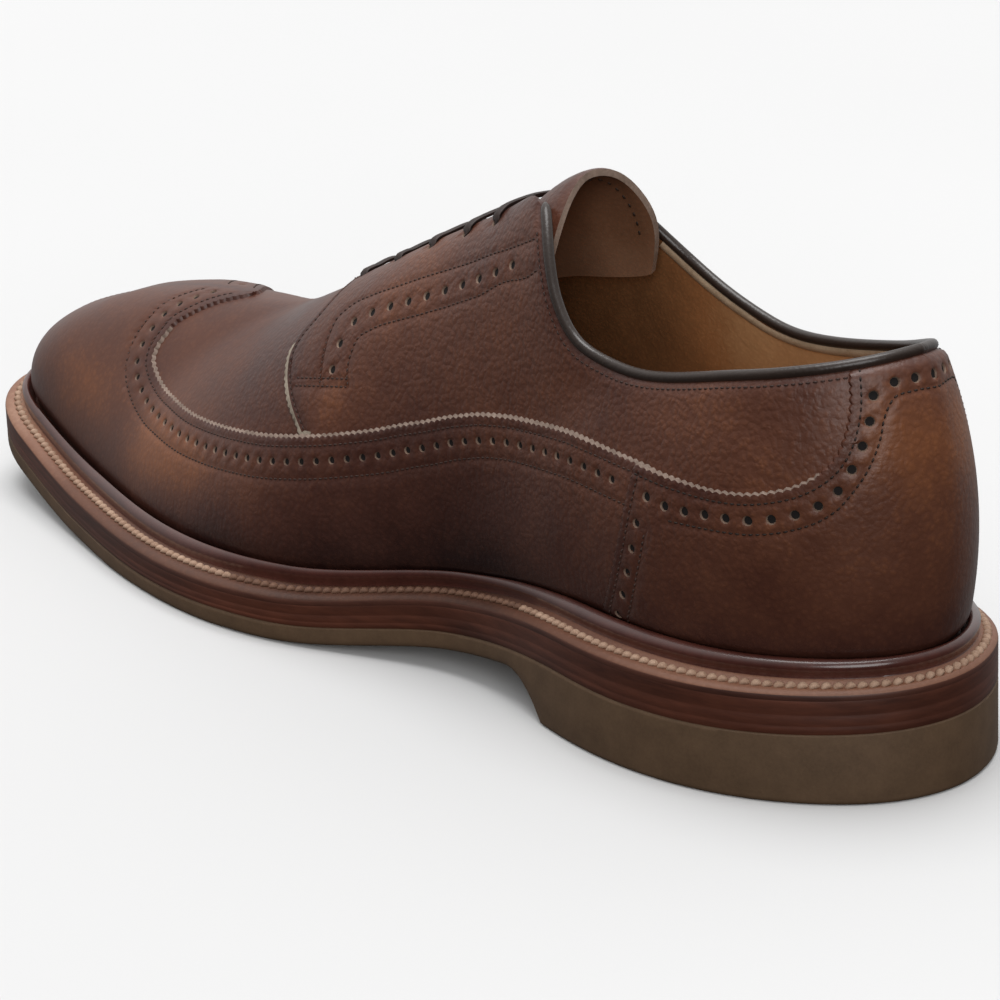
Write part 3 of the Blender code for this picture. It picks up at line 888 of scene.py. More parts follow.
def make_panel(name, outline, height, under, flare, pale, strip, holes, grooves):
    """A cut panel of leather: punched holes, sewn grooves, and pared edges down to what lies under it."""
    boundary = to_chart(*outline.T)
    count = len(boundary)
    flat, drop, owner, edges = panel_plan(outline, boundary, holes, grooves)
    made, _, triangles, sources, _, _ = delaunay_2d_cdt([Vector(point) for point in flat], edges, [], 0, 1e-5)
    made = np.array([tuple(v) for v in made])
    source = np.array([ids[0] if ids else -1 for ids in sources])
    triangles = np.array([t for t in triangles if len(t) == 3])
    vertex_drop = np.where(source >= 0, drop[source], 0.0)
    vertex_owner = np.where(source >= 0, owner[source], -1)
    owners = vertex_owner[triangles]
    in_hole = (owners[:, 0] >= 0) & (owners == owners[:, :1]).all(1)
    triangles = triangles[~in_hole & inside(made[triangles].mean(1), boundary)]
    s, w = from_chart(made)
    sunk_height = height(s, w) - vertex_drop * tuck(s, w)
    points, out = raised(s, w, sunk_height)
    low_points = points + out * (FLOOR - sunk_height)[:, None]
    for number in np.unique(vertex_owner[vertex_owner >= 0]):
        rim = np.flatnonzero(vertex_owner == number)
        sunk = points[rim] - out[rim] * (BACKING_DEPTH + BACKING_CLEAR)
        low_points[rim] = sunk.mean(0) + (sunk - sunk.mean(0)) * HOLE_TAPER
    edge_points = skin(*outline.T)
    run = unit(np.roll(edge_points, -EDGE_SMOOTH, axis=0) - np.roll(edge_points, EDGE_SMOOTH, axis=0))
    foot, foot_out = raised(*outline.T, under(*outline.T) - EDGE_SINK)
    foot = foot + np.cross(foot_out, run) * flare
    is_cut = (outline[:, 1] > CUT_BAND[0]) & (outline[:, 1] < CUT_BAND[1])
    on_edge = (source >= 0) & (source < count)
    on_edge[on_edge] = is_cut[source[on_edge]]
    low_points[on_edge] = foot[source[on_edge]]
    outline_tree = tree_of(level(boundary))
    inward = np.array([outline_tree.find((u, v, 0))[2] for u, v in made])
    tone = np.clip(tone_of(w, points) - EDGE_DARK * np.exp(-(inward / EDGE_DARK_WIDE) ** 2), 0, 1)
    in_strip = np.isin(source, np.flatnonzero(in_boxes(strip, *outline.T)))
    points, triangles, first = weld(points, triangles.tolist())
    low_points, tone, grain, in_strip = low_points[first], tone[first], grain_of(s, w)[first], in_strip[first]
    is_pale, is_hole = in_boxes(pale, s, w)[first], vertex_owner[first] >= 0
    triangles = np.array(triangles)
    solid = points[triangles]
    facing = np.cross(solid[:, 1] - solid[:, 0], solid[:, 2] - solid[:, 0])
    turned = dots(facing, (points - low_points)[triangles[:, 0]]) < 0
    triangles[turned] = triangles[turned][:, ::-1]
    runs = np.vstack([triangles[:, [0, 1]], triangles[:, [1, 2]], triangles[:, [2, 0]]])
    keys = {(a, b) for a, b in runs.tolist()}
    rims = sorted((a, b) for a, b in keys if (b, a) not in keys)
    total = len(points)
    faces = triangles.tolist() + [(b, a, a + total, b + total) for a, b in rims]
    face_material = np.where(in_strip[triangles].any(1), 3, 0).tolist()
    face_material += [2 if is_hole[a] else 3 if in_strip[a] else int(is_pale[a]) for a, _ in rims]
    points = np.vstack([points, low_points])
    used = np.zeros(len(points), bool)
    for face in faces:
        used[list(face)] = True
    renumber = np.cumsum(used) - 1
    faces = [[renumber[i] for i in face] for face in faces]
    values = {"tone": np.concatenate([tone, tone])[used], "grain": np.concatenate([grain, grain])[used]}
    materials = [UPPER, RAW_EDGE, HOLE_EDGE, FRONT_EDGE]
    return new_piece(name, points[used], faces, materials, face_material, PANEL_SHARP, (), values)


STITCH_RINGS = (-0.5, -0.4, -0.15, 0.15, 0.4, 0.5)
STITCH_SWELL = (0.35, 0.75, 1.0, 1.0, 0.75, 0.35)


def stitch_points(centres, run, out, length, half_wide, half_high, dip, sides=5):
    """Points of many stitches: short threads whose ends go down into the leather."""
    across = np.cross(out, run)
    angle = np.arange(sides) * 2 * np.pi / sides
    rings = []
    for t, swell in zip(STITCH_RINGS, STITCH_SWELL):
        middle = centres + run * (t * length) - out * (dip * (2 * t) ** 2)
        circle = (across[:, None] * (np.cos(angle) * half_wide * swell)[None, :, None]
                  + out[:, None] * (np.sin(angle) * half_high * swell)[None, :, None])
        rings.append(middle[:, None] + circle)
    return np.stack(rings, 1).reshape(len(centres), -1, 3)


def stitch_piece(name, groups, material, sides=5):
    """One piece from several rows of stitches."""
    points = np.vstack(groups)
    count = len(STITCH_RINGS)
    pattern = grid_faces(count, sides, False, True)
    pattern += [tuple(range(sides))[::-1], tuple(range((count - 1) * sides, count * sides))]
    faces = []
    for k in range(len(points)):
        start = k * count * sides
        faces += [tuple(start + i for i in face) for face in pattern]
    return new_piece(name, points.reshape(-1, 3), faces, [material], None, 0, ())


THREAD_PITCH = 1.5
THREAD_LENGTH = 1.05
THREAD_HALF = 0.22
THREAD_FLAT = 0.8
THREAD_DIP = 0.25
THREAD_RISE = 0.18


def sewn(places, height):
    """Stitches along places on a panel of the given height."""
    points, out = raised(*places.T, height(*places.T) - GROOVE_DROP + THREAD_RISE)
    run = unit(np.gradient(points, axis=0))
    run = unit(run - out * dots(run, out)[:, None])
    return stitch_points(points, run, out, THREAD_LENGTH, THREAD_HALF, THREAD_HALF * THREAD_FLAT, THREAD_DIP)


# Materials


def add(tree, kind, inputs=None, **settings):
    """A shader node with its settings, and its inputs set or linked."""
    made = tree.nodes.new("ShaderNode" + kind)
    for key, value in settings.items():
        setattr(made, key, value)
    for key, value in (inputs or {}).items():
        if isinstance(value, bpy.types.NodeSocket):
            tree.links.new(value, made.inputs[key])
        else:
            made.inputs[key].default_value = value
    return made


def ramp(tree, value, stops):
    made = add(tree, "ValToRGB", {"Fac": value})
    while len(made.color_ramp.elements) < len(stops):
        made.color_ramp.elements.new(0.5)
    for element, (place, colour) in zip(made.color_ramp.elements, stops):
        element.position = place
        element.color = (*colour, 1.0)
    return made.outputs["Color"]


def fresh(name, roughness, **sockets):
    """A new material with its shader, and the object's coordinates in millimetres."""
    made = bpy.data.materials.new(name)
    made.use_nodes = True
    tree = made.node_tree
    shader = tree.nodes["Principled BSDF"]
    shader.inputs["Roughness"].default_value = roughness
    for key, value in sockets.items():
        shader.inputs[key.replace("_", " ")].default_value = value
    place = add(tree, "TexCoord").outputs["Object"]
    size = add(tree, "VectorMath", {0: place, "Scale": 1 / MM}, operation="SCALE").outputs["Vector"]
    return made, tree, shader, size


def noise(tree, vector, scale, detail=3.0, roughness=0.55):
    inputs = {"Vector": vector, "Scale": scale, "Detail": detail, "Roughness": roughness}
    return add(tree, "TexNoise", inputs).outputs["Fac"]


def maths(tree, operation, *values, clamp=False):
    return add(tree, "Math", dict(enumerate(values)), operation=operation, use_clamp=clamp).outputs["Value"]


def vector_maths(tree, operation, *values):
    return add(tree, "VectorMath", dict(enumerate(values)), operation=operation).outputs["Vector"]


def attribute(tree, name):
    return add(tree, "Attribute", attribute_name=name).outputs["Fac"]


def ranged(tree, value, low, high, to_low, to_high):
    return add(tree, "MapRange", {"Value": value, "From Min": low, "From Max": high, "To Min": to_low,
                                  "To Max": to_high}).outputs["Result"]


def bumped(tree, shader, height, strength, distance_mm):
    made = add(tree, "Bump", {"Height": height, "Strength": strength, "Distance": distance_mm * MM})
    tree.links.new(made.outputs["Normal"], shader.inputs["Normal"])


# Grain of leather: how the cells are bent, how flat the folds lie, the scales of folds and pores against the
# cells, how much each adds to the height, and how far cloud and grain change the tone and the gloss
WARP_SCALE = 0.35
WARP_SIZE = 1.6
CELL_SOFT = 0.35
FOLD_FLAT = 0.55
FOLD_SCALE = 0.55
PORE_SCALE = 3.2
FOLD_SHARE = 1.1
CELL_SHARE = -0.9
PORE_SHARE = 0.25
CLOUD_SCALE = 0.045
CLOUD_BAND = (0.3, 0.7)
CLOUD_TONE = 0.10
GRAIN_TONE = 0.07
CLOUD_GLOSS = 0.06
PLAIN_TONE = 0.5
LEATHER_COAT = 0.28
LEATHER_BUMP = 0.8


def leather(name, stops, roughness, grain_scale, grain_depth, coat, toned=True):
    """Pebbled leather, darker in the grain, with cloudy burnishing."""
    made, tree, shader, size = fresh(name, roughness, Coat_Weight=coat, Coat_Roughness=LEATHER_COAT)
    warp = add(tree, "TexNoise", {"Vector": size, "Scale": WARP_SCALE, "Detail": 2.0}).outputs["Color"]
    bent = vector_maths(tree, "MULTIPLY_ADD", warp, (WARP_SIZE,) * 3, size)
    cells = add(tree, "TexVoronoi", {"Vector": bent, "Scale": grain_scale, "Smoothness": CELL_SOFT},
                feature="SMOOTH_F1").outputs["Distance"]
    flat = vector_maths(tree, "MULTIPLY", bent, (1.0, 1.0, FOLD_FLAT))
    folds = noise(tree, flat, grain_scale * FOLD_SCALE, 4.0, 0.6)
    pores = noise(tree, size, grain_scale * PORE_SCALE, 2.0)
    height = maths(tree, "MULTIPLY", cells, CELL_SHARE)
    height = maths(tree, "MULTIPLY_ADD", folds, FOLD_SHARE, height)
    height = maths(tree, "MULTIPLY_ADD", pores, PORE_SHARE, height)
    cloud = noise(tree, size, CLOUD_SCALE, 4.0, 0.62)
    tone = ranged(tree, cloud, *CLOUD_BAND, -CLOUD_TONE, CLOUD_TONE)
    tone = maths(tree, "ADD", tone, attribute(tree, "tone") if toned else PLAIN_TONE)
    tone = maths(tree, "ADD", tone, ranged(tree, height, 0.1, 0.9, -GRAIN_TONE, GRAIN_TONE), clamp=True)
    tree.links.new(ramp(tree, tone, stops), shader.inputs["Base Color"])
    rough = ranged(tree, cloud, *CLOUD_BAND, roughness - CLOUD_GLOSS, roughness + CLOUD_GLOSS)
    tree.links.new(rough, shader.inputs["Roughness"])
    if toned:
        height = maths(tree, "MULTIPLY", height, attribute(tree, "grain"))
    bumped(tree, shader, height, LEATHER_BUMP, grain_depth)
    return made


COARSE_SCALE = 0.12
COARSE_SHARE = 0.65
MOTTLE_BAND = (0.32, 0.68)
MOTTLE_BUMP = 0.5


def mottled(name, dark, light, roughness, scale, depth_mm, stretch=None, **sockets):
    """A plain material with fine mottling in its colour and surface, stretched into streaks where asked."""
    made, tree, shader, size = fresh(name, roughness, **sockets)
    if stretch:
        size = vector_maths(tree, "MULTIPLY", size, stretch)
    coarse = noise(tree, size, scale * COARSE_SCALE, 4.0, 0.6)
    fine = noise(tree, size, scale, 3.0, 0.6)
    mix = maths(tree, "ADD", maths(tree, "MULTIPLY", coarse, COARSE_SHARE),
                maths(tree, "MULTIPLY", fine, 1 - COARSE_SHARE))
    tree.links.new(ramp(tree, mix, tuple(zip(MOTTLE_BAND, (dark, light)))), shader.inputs["Base Color"])
    bumped(tree, shader, fine, MOTTLE_BUMP, depth_mm)
    return made


UPPER = leather("upper_leather", ((0.0, (0.020, 0.0062, 0.0052)), (0.35, (0.075, 0.0245, 0.0155)),
                                  (0.60, (0.135, 0.047, 0.0245)), (0.85, (0.25, 0.088, 0.034)),
                                  (1.0, (0.33, 0.125, 0.044))), 0.42, 0.80, 0.25, 0.06)
RAW_EDGE = mottled("cut_edge", (0.13, 0.085, 0.063), (0.34, 0.25, 0.20), 0.7, 1.5, 0.05)
TONGUE_EDGE = mottled("tongue_edge", (0.17, 0.115, 0.085), (0.40, 0.29, 0.23), 0.7, 1.5, 0.05)
FRONT_EDGE = mottled("front_edge", (0.22, 0.175, 0.13), (0.50, 0.42, 0.33), 0.7, 1.5, 0.08)
HOLE_EDGE = mottled("hole_edge", (0.10, 0.055, 0.036), (0.30, 0.20, 0.145), 0.7, 1.5, 0.05)
LINING = leather("lining_leather", ((0.0, (0.10, 0.045, 0.018)), (0.5, (0.43, 0.19, 0.072)),
                                    (1.0, (0.72, 0.42, 0.20))), 0.6, 1.1, 0.08, 0.0)
TONGUE_LINING = leather("tongue_lining", ((0.0, (0.085, 0.036, 0.017)), (0.5, (0.22, 0.105, 0.055)),
                                           (1.0, (0.36, 0.20, 0.12))), 0.6, 1.1, 0.08, 0.0)
BROWN_THREAD = mottled("brown_thread", (0.030, 0.014, 0.010), (0.070, 0.033, 0.024), 0.6, 3.0, 0.05)
THREAD = mottled("dark_thread", (0.012, 0.006, 0.004), (0.038, 0.018, 0.011), 0.6, 3.0, 0.05)
# Nearly black backing: painted shade at the bottom of the punched holes
HOLE_SHADE = mottled("hole_backing_painted_shade", (0.004, 0.003, 0.003), (0.010, 0.006, 0.005), 0.85, 1.0, 0.05)
BINDING = leather("binding_leather", ((0.0, (0.016, 0.010, 0.008)), (0.5, (0.034, 0.022, 0.017)),
                                      (1.0, (0.060, 0.042, 0.033))), 0.32, 1.3, 0.05, 0.2, False)
STREAKS = (0.16, 0.16, 1.0)
WELT_TAN = leather("welt_top", ((0.0, (0.055, 0.018, 0.009)), (0.4, (0.14, 0.052, 0.026)),
                                (0.8, (0.26, 0.120, 0.072)), (1.0, (0.37, 0.20, 0.130))),
                   0.52, 0.9, 0.12, 0.0)
WELT_EDGE = mottled("welt_edge", (0.045, 0.0135, 0.008), (0.125, 0.042, 0.025), 0.5, 1.0, 0.06, STREAKS)
RIB = mottled("storm_rib", (0.055, 0.014, 0.010), (0.105, 0.030, 0.021), 0.30, 0.6, 0.04, Coat_Weight=0.8,
              Coat_Roughness=0.16)
MIDSOLE = mottled("midsole_edge", (0.050, 0.0135, 0.007), (0.155, 0.046, 0.024), 0.5, 0.8, 0.07, STREAKS)
RUBBER = mottled("sole_rubber", (0.110, 0.063, 0.033), (0.158, 0.093, 0.050), 0.66, 1.4, 0.06)
# The welt's thread again, darker: painted shade on the stitches at the waist, under the overhanging upper
WELT_THREAD_SHADED = mottled("welt_thread_painted_shade", (0.12, 0.055, 0.032), (0.24, 0.125, 0.078), 0.7, 2.2, 0.08)
WELT_THREAD = mottled("welt_thread", (0.30, 0.17, 0.11), (0.56, 0.38, 0.27), 0.7, 2.2, 0.08)
LACE = mottled("lace_cotton", (0.014, 0.008, 0.007), (0.050, 0.030, 0.025), 0.6, 2.4, 0.12)
PIPING = mottled("lining_piping", (0.34, 0.23, 0.14), (0.55, 0.42, 0.29), 0.6, 1.6, 0.05)
SOCK = leather("sock_leather", ((0.0, (0.10, 0.05, 0.02)), (0.5, (0.20, 0.10, 0.04)),
                                (1.0, (0.28, 0.15, 0.06))), 0.55, 1.0, 0.06, 0.0, False)


# Upper: shell with its lining, then the panels sewn over it


def straight(start, end, count):
    return np.linspace(start, end, count + 1)


def outline_of(*lines):
    """One closed outline from lines that follow each other, without repeated corners."""
    return np.vstack([line[:-1] for line in lines])


SHELL_COLUMNS = 440
SHELL_ROWS = 56
LINING_ROWS = 30
SHELL_SHARP = 50.0
# Tone of the lining, and the painted shade that darkens it toward the toe over this span of x in millimetres
LINING_PALE = 0.94
LINING_PAINTED_SHADE = 0.72
LINING_SHADE_SPAN = (72.0, 116.0)


def lining_tone_and_shade(points):
    """How light the lining is: pale at the heel and darker down into the shoe, painted shade deep inside it.
    """
    return LINING_PALE - LINING_PAINTED_SHADE * ease(points[:, 0], *LINING_SHADE_SPAN)


def make_shell():
    s = np.arange(SHELL_COLUMNS) * ROUND / SHELL_COLUMNS
    layers, tones, grains, faces, kinds = [], [], [], [], []
    start = 0
    for rows, height, kind in ((SHELL_ROWS, SHELL, 0), (LINING_ROWS, -WALL, 1)):
        w = np.linspace(0, 1, rows)
        all_s, all_w = np.repeat(s, rows), np.tile(w, SHELL_COLUMNS)
        points, _ = raised(all_s, all_w, np.full(len(all_s), height))
        quads = grid_faces(SHELL_COLUMNS, rows, True, False, start)
        faces += quads if kind == 0 else [quad[::-1] for quad in quads]
        kinds += [kind] * len(quads)
        layers.append(points)
        tones.append(lining_tone_and_shade(points) if kind else tone_of(all_w, points))
        grains.append(grain_of(all_s, all_w))
        start += len(points)
    lining_start = SHELL_COLUMNS * SHELL_ROWS
    for i in range(SHELL_COLUMNS):
        k = (i + 1) % SHELL_COLUMNS
        if max(station(s[i]), station(s[k])) > RIDGE_START + 0.01:
            continue
        outer = [n * SHELL_ROWS + SHELL_ROWS - 1 for n in (i, k)]
        inner = [lining_start + n * LINING_ROWS + LINING_ROWS - 1 for n in (i, k)]
        faces.append((outer[0], inner[0], inner[1], outer[1]))
        kinds.append(0)
    points, tones = np.vstack(layers), np.concatenate(tones)
    kept, faces, first = weld(points, faces)
    if len(faces) != len(kinds):
        raise SystemExit("the shell lost faces when it was welded")
    values = {"tone": tones[first], "grain": np.concatenate(grains)[first]}
    materials = [UPPER, LINING]
    return new_piece("vamp_and_lining", kept, faces, materials, kinds, SHELL_SHARP, ("upper",),
                     values)


def eyelet(at, side, reach):
    """Place of an eyelet: straight out from the facing's edge over the skin."""
    r = np.array([at])
    edge = upper_points(r, 1.0, side)
    tenth = np.linalg.norm(upper_points(r, 0.9, side) - edge, axis=1)
    w = 1 - 0.1 * reach / tenth
    for _ in range(3):
        r = r - (upper_points(r, w, side) - edge)[:, 0] / STATION_STEP
    return np.array([r[0] if side > 0 else ROUND - r[0], w[0]])


ROW_STEP = 0.9
SMALL_HOLE = 0.9
LARGE_HOLE = 1.1
EYELET_HOLE = 1.5
NEAR_RIDGE = 0.95

# Rows of stitches and holes, by how far they lie from their seam, negative to its right, and the holes' pitch
WING_ROWS = (-1.7, -9.0)
WING_HOLE_ROW = -5.1
WING_HOLE_PITCH = 4.5
WING_HOLES_FROM = 3.84
WING_FLARE = 0.75
SEAM_STEP = 2.0
COUNTER_TOP_ROW = -1.6
COUNTER_FRONT_ROW = -1.5
COUNTER_BACK_ROW = -6.6
COUNTER_HOLE_ROW = -3.9
COUNTER_HOLE_PITCH = 5.4
COUNTER_HOLE = 0.99
COUNTER_FLARE = 0.5
HEEL_PITCH = 5.15
HEEL_BACK_PITCH = 5.2
FRONT_ROW = -1.8
BAR_ROWS = (0.0, 1.8)
UNDER_COLLAR = -1.7
STAY_PITCH = 5.9
QUARTER_TOP_PITCH = 1.5
QUARTER_LOW_PITCH = 1.6
QUARTER_FLARE = 0.85
brown_rows, dark_rows, backing = [], [], []


def clear_of_ridge(line):
    """A row on the wing, ended where both sides would cross on the ridge."""
    runs = np.split(line, np.where(line[:, 1] >= NEAR_RIDGE)[0])
    longest = max(runs, key=len)
    return longest[longest[:, 1] < NEAR_RIDGE]


def sew(rows, height, *shifts, heap=brown_rows):
    """Adds rows of stitches beside a seam and returns the grooves they lie in."""
    base = trace(rows, ROW_STEP)
    grooves = []
    for shift in shifts:
        line = beside(base, shift) if shift else base
        if height is wing_height:
            line = clear_of_ridge(line)
        grooves.append(line)
        heap.append(sewn(even(line, THREAD_PITCH), height))
    return grooves


def punch(places, radius, height):
    backing.append((places, radius, height))
    return places, radius


def make_wing():
    inner, outer = np.array(WING_EDGE), mirrored(WING_EDGE)
    back_s, back_w = WING_EDGE[-1]
    peak = WING_EDGE[0][0]
    outline = outline_of(
        straight((back_s, 0), (ROUND - back_s, 0), 360),
        straight((ROUND - back_s, 0), (ROUND - back_s, back_w), 24),
        gimped(outer),
        straight((ROUND - peak, 1), (peak, 1), 70),
        gimped(inner),
        straight((back_s, back_w), (back_s, 0), 24),
    )
    holes, grooves = [], []
    for rows in (inner, outer):
        grooves += sew(rows, wing_height, *WING_ROWS)
        line = even(clear_of_ridge(beside(trace(rows, ROW_STEP), WING_HOLE_ROW)), WING_HOLE_PITCH)
        shown = line[station(line[:, 0]) > WING_HOLES_FROM]
        holes.append(punch(shown, SMALL_HOLE, wing_height))
    return make_panel("wing", outline, wing_height, under_wing, WING_FLARE, WING_PALE, (), holes, grooves)


HEEL_HOLES = (
    (3.58, 0.575), (3.42, 0.552), (3.09, 0.543), (2.74, 0.536), (2.36, 0.555), (2.15, 0.585), (1.95, 0.638),
    (1.79, 0.706), (1.64, 0.780), (1.55, 0.849), (1.50, 0.905),
)
HEEL_LOW_ROW = (
    (3.40, 0.503), (3.02, 0.493), (2.72, 0.489), (2.43, 0.500), (2.16, 0.530), (1.85, 0.602), (1.59, 0.682),
    (1.41, 0.768), (1.30, 0.845), (1.12, 0.888), (0.70, 0.895), (0.0, 0.888),
)
HEEL_BACK_HOLES = ((1.08, 0.934), (0.5, 0.932), (0.0, 0.930), (-0.5, 0.932), (-1.08, 0.934))


def heel_mirrored(rows):
    return mirrored(rows) - [ROUND, 0]


def make_counter():
    front_s, top_s = COUNTER_FRONT[0][0], COUNTER_TOP[-1][0]
    outline = outline_of(
        straight((-front_s, 0), (front_s, 0), 150),
        gimped(COUNTER_FRONT),
        gimped(COUNTER_TOP),
        straight((top_s, 1), (-top_s, 1), 40),
        gimped(heel_mirrored(COUNTER_TOP)),
        gimped(heel_mirrored(COUNTER_FRONT)),
    )
    holes, grooves = [], []
    for flip in (np.array, heel_mirrored):
        grooves += sew(flip(COUNTER_TOP), counter_height, COUNTER_TOP_ROW, heap=dark_rows)
        grooves += sew(flip(COUNTER_FRONT), counter_height, COUNTER_FRONT_ROW)
        front = trace(COUNTER_FRONT, SEAM_STEP)
        grooves += sew(flip(beside(front, COUNTER_BACK_ROW)[1:-6]), counter_height, 0.0)
        grooves += sew(flip(HEEL_LOW_ROW), counter_height, 0.0, heap=dark_rows)
        holes.append(punch(trace(flip(HEEL_HOLES), HEEL_PITCH), LARGE_HOLE, counter_height))
        line = even(flip(beside(front, COUNTER_HOLE_ROW)[2:-4]), COUNTER_HOLE_PITCH)
        holes.append(punch(line, COUNTER_HOLE, counter_height))
    holes.append(punch(trace(HEEL_BACK_HOLES, HEEL_BACK_PITCH), LARGE_HOLE, counter_height))
    return make_panel("heel_counter", outline, counter_height, under_counter, COUNTER_FLARE, COUNTER_PALE, (),
                      holes, grooves)


COLLAR_ROW = [(at, 1.0) for at in (5.36, 5.1, 4.6, 4.0, 3.0, 2.4, 1.9)]


def make_quarter(name, side):
    flip = np.array if side > 0 else mirrored
    low_end = QUARTER_LOW[0]
    stations = (QUARTER_FRONT[-1][0], 6.4, 5.55, 4.0, low_end[0])
    outline = flip(outline_of(
        gimped(QUARTER_FRONT),
        trace([(at, 1.0) for at in stations], QUARTER_TOP_PITCH),
        straight((low_end[0], 1.0), low_end, 24),
        trace(QUARTER_LOW, QUARTER_LOW_PITCH),
    ))
    grooves = sew(flip(QUARTER_FRONT[1:]), quarter_height, FRONT_ROW)
    grooves += sew(flip(STAY_INNER), quarter_height, 0.0)
    grooves += sew(flip(STAY_OUTER), quarter_height, 0.0)
    grooves += sew(flip(BAR), quarter_height, *BAR_ROWS)
    grooves += sew(flip(beside(trace(COLLAR_ROW, SEAM_STEP), UNDER_COLLAR)), quarter_height, 0.0)
    holes = [punch(trace(flip(STAY_HOLES), STAY_PITCH), LARGE_HOLE, quarter_height)]
    holes.append((np.array([eyelet(at, side, EYELET_REACH) for at in LACE_STATIONS]), EYELET_HOLE))
    return make_panel(name, outline, quarter_height, under_quarter, QUARTER_FLARE, QUARTER_PALE, FRONT_STRIP,
                      holes, grooves)


def make_backing():
    """A dark disc at the bottom of each punched hole: the leather beneath, coloured nearly black as painted
    shade in the hole.
    """
    points, faces = [], []
    for places, radius, height in backing:
        for middle, circle in zip(places, ring(places, radius + HOLE_CLEAR, HOLE_SIDES)):
            s, w = np.vstack([circle, middle]).T
            disc, _ = raised(s, w, height(s, w) - BACKING_DEPTH)
            start = sum(map(len, points))
            points.append(disc)
            faces += [(a, start + HOLE_SIDES, b) for a, b in closed_edges(start, HOLE_SIDES)]
    return new_piece("hole_backing_painted_shade", np.vstack(points), faces, [HOLE_SHADE], None, 0, ())


make_shell()
make_wing()
make_counter()
make_quarter("quarter_inner", 1)
make_quarter("quarter_outer", -1)
make_backing()
stitch_piece("upper_stitching", brown_rows, BROWN_THREAD)
stitch_piece("heel_stitching", dark_rows, THREAD)


# Collar, tongue and laces


def tube(centres, across, up, wide, high, sides):
    """Rings of an oval cord, then its faces with closed ends."""
    angle = np.arange(sides) * 2 * np.pi / sides
    wide, high = np.broadcast_to(wide, len(centres)), np.broadcast_to(high, len(centres))
    rings = (centres[:, None] + across[:, None] * (np.cos(angle) * wide[:, None])[..., None]
             + up[:, None] * (np.sin(angle) * high[:, None])[..., None])
    faces = grid_faces(len(centres), sides, False, True)
    last = (len(centres) - 1) * sides
    faces += [tuple(range(sides))[::-1], tuple(range(last, last + sides))]
    return rings.reshape(-1, 3), faces


ROUND_SHARP = 60.0
BINDING_HALF = 1.2
BINDING_RISE = 0.75
BINDING_RINGS = 420
BINDING_SIDES = 14
BINDING_TAPER = 0.35
BINDING_TAPER_OVER = 0.06
COLLAR_BELOW = 0.97


def make_binding():
    """The rolled edge of the collar, from the inner facing round the heel to the outer facing."""
    s = np.linspace(BINDING_END, -BINDING_END, BINDING_RINGS)
    top, out = skin(s, 1.0), facing_out(s, np.ones(BINDING_RINGS))
    rise = unit(top - skin(s, COLLAR_BELOW))
    centres = top - out * (WALL / 2) + rise * BINDING_RISE
    run = unit(np.gradient(centres, axis=0))
    up = unit(rise - run * dots(rise, run)[:, None])
    side = np.cross(run, up)
    side *= np.sign(dots(side, out))[:, None]
    from_end = np.clip((BINDING_END - abs(s)) / BINDING_TAPER_OVER, 0, 1)
    half = BINDING_HALF * lifted(BINDING_TAPER, np.sqrt(from_end))
    points, faces = tube(centres, side, up, half, half, BINDING_SIDES)
    faces = [face[::-1] for face in faces]
    return new_piece("collar_roll", points, faces, [BINDING], None, ROUND_SHARP, ("collar_binding",))


PIPING_DROP = 1.0
PIPING_WIDE = 1.05
PIPING_HIGH = 0.4
PIPING_END = 5.2
PIPING_RINGS = 240
PIPING_SIDES = 8


def make_piping():
    """A thin pale strip of leather inside the collar, below the rolled edge."""
    line = beside(straight((PIPING_END, 1), (-PIPING_END, 1), PIPING_RINGS - 1), -PIPING_DROP)
    points, out = raised(*line.T, np.full(len(line), -WALL))
    run = unit(np.gradient(points, axis=0))
    points, faces = tube(points, np.cross(run, out), out, PIPING_WIDE, PIPING_HIGH, PIPING_SIDES)
    return new_piece("lining_piping", points, faces, [PIPING], None, ROUND_SHARP, ())


TONGUE_START = 102.9
TONGUE_SWEEP = 4.6
TONGUE_CORNER_OUTER = 7.0
TONGUE_CORNER_INNER = 1.5
TONGUE_CORNER_FROM = 0.6
TONGUE_CORNER_POWER = 2.6
TONGUE_ROWS = 70
TONGUE_COLUMNS = 49
TONGUE_CROWD = 1.2
TONGUE_SHARP = 40.0
TONGUE_THIN = 0.75
TONGUE_THIN_ROWS = 3.0
TONGUE_THIN_COLUMNS = 2.0
TONGUE_TONE = 0.5
TONGUE_GRAIN = 0.6
# Tone of the tongue's lining, and how far its painted light and shade change across it
TONGUE_INSIDE = 0.08
TONGUE_LIGHT_TO_SHADE = 0.70


def tongue_grid(lift):
    """Points of the tongue at a height over its middle layer, from its top edge down and across."""
    across = np.linspace(-1, 1, TONGUE_COLUMNS)
    past = np.clip((abs(across) - TONGUE_CORNER_FROM) / (1 - TONGUE_CORNER_FROM), 0, 1)
    corner = np.where(across > 0, TONGUE_CORNER_INNER, TONGUE_CORNER_OUTER) * past ** TONGUE_CORNER_POWER
    along = np.linspace(0, 1, TONGUE_ROWS) ** TONGUE_CROWD
    start = TONGUE_START + corner - TONGUE_SWEEP * abs(across)
    x = start[None] * (1 - along)[:, None] + TONGUE[-1][0] * along[:, None]
    height, half, curl = [column.reshape(x.shape) for column in table(TONGUE, x.ravel()).T]
    slope = np.gradient(height, axis=0) / np.gradient(x, axis=0)
    y = across[None] * half
    z = height - curl * abs(across[None]) ** TONGUE_BOW
    tilt = TONGUE_BOW * curl * abs(across[None]) ** (TONGUE_BOW - 1) * np.sign(across[None]) / half
    up = unit(np.stack([-slope, tilt, np.ones_like(slope)], -1))
    return np.stack([x, y, z], -1) + up * lift, up


